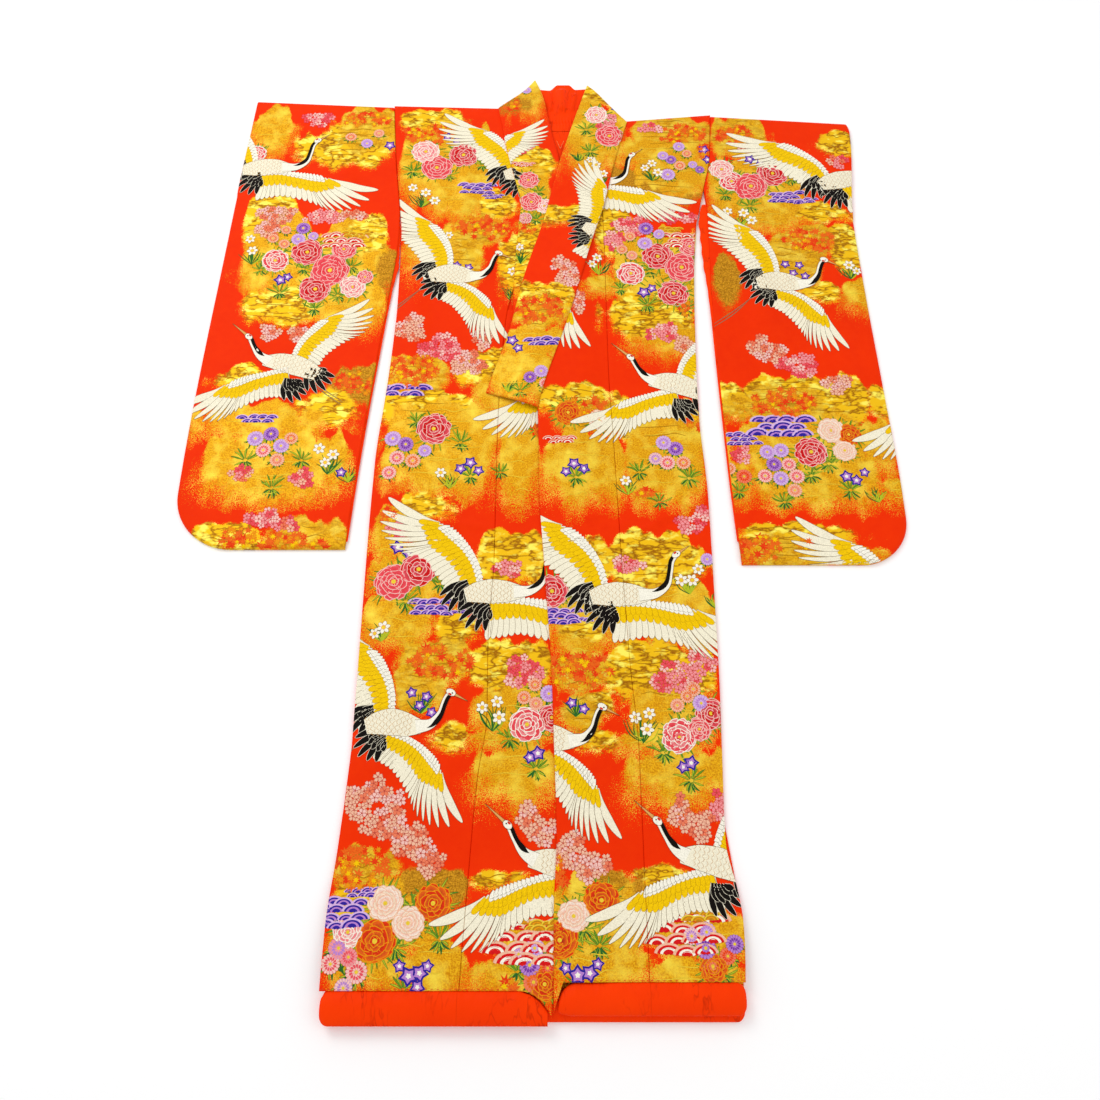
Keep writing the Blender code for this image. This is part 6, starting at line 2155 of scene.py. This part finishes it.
def register():
    for part in CLASSES:
        bpy.utils.register_class(part)
    bpy.types.Scene.uchikake_cloth = bpy.props.PointerProperty(type=ClothSettings)
    bpy.types.Scene.uchikake_stage = bpy.props.PointerProperty(type=StageSettings)


def unregister():
    del bpy.types.Scene.uchikake_cloth
    del bpy.types.Scene.uchikake_stage
    for part in reversed(CLASSES):
        bpy.utils.unregister_class(part)


CAMERA_PLACE = (0.36, 9.5)
CAMERA_TILT = 22.5
FOCAL_LENGTH = 31.86
WHITE = (1.0, 1.0, 1.0, 1.0)


def make_stage(stage):
    """Pale floor, even light with a soft key and fill, and a camera at the hem end."""
    half = stage.floor_width / 2.0
    below = -0.6 * MM
    corners = [(-half, -half, below), (half, -half, below), (half, half, below), (-half, half, below)]
    material, _, shader = new_material("pale_matt_floor", 0.9, PLAIN_SPECULAR)
    shader.inputs["Base Color"].default_value = WHITE
    new_object("floor", corners, [(0, 1, 2, 3)], material)
    world = bpy.data.worlds.new("studio")
    bpy.context.scene.world = world
    world.use_nodes = True
    world.node_tree.nodes["Background"].inputs["Color"].default_value = WHITE
    world.node_tree.nodes["Background"].inputs["Strength"].default_value = stage.sky
    lamps = (("key", (-1.6, 1.6, 2.6), 1.6, stage.key), ("fill", (2.2, -0.6, 2.4), 2.0, stage.key * 0.26))
    for name, spot, width, power in lamps:
        lamp = bpy.data.lights.new(name, "AREA")
        lamp.size = width
        lamp.energy = power
        thing = link_object(name, lamp)
        thing.location = spot
        aim = Vector((0.0, 0.1, 0.0)) - Vector(spot)
        thing.rotation_euler = aim.to_track_quat("-Z", "Y").to_euler()
    lens = bpy.data.cameras.new("camera")
    lens.lens = FOCAL_LENGTH
    lens.sensor_width = 36.0
    camera = link_object("camera", lens)
    camera.location = ((CAMERA_PLACE[0] - MIDDLE_X) * CM, (CAMERA_PLACE[1] - MIDDLE_Y) * CM,
                       stage.camera_height)
    camera.rotation_euler = (math.radians(CAMERA_TILT), 0.0, 0.0)
    bpy.context.scene.camera = camera
    bpy.context.scene.view_settings.view_transform = "Standard"


def main():
    register()
    for step in STEPS:
        group, name = step.bl_idname.split(".")
        getattr(getattr(bpy.ops, group), name)()


if __name__ == "__main__":
    main()
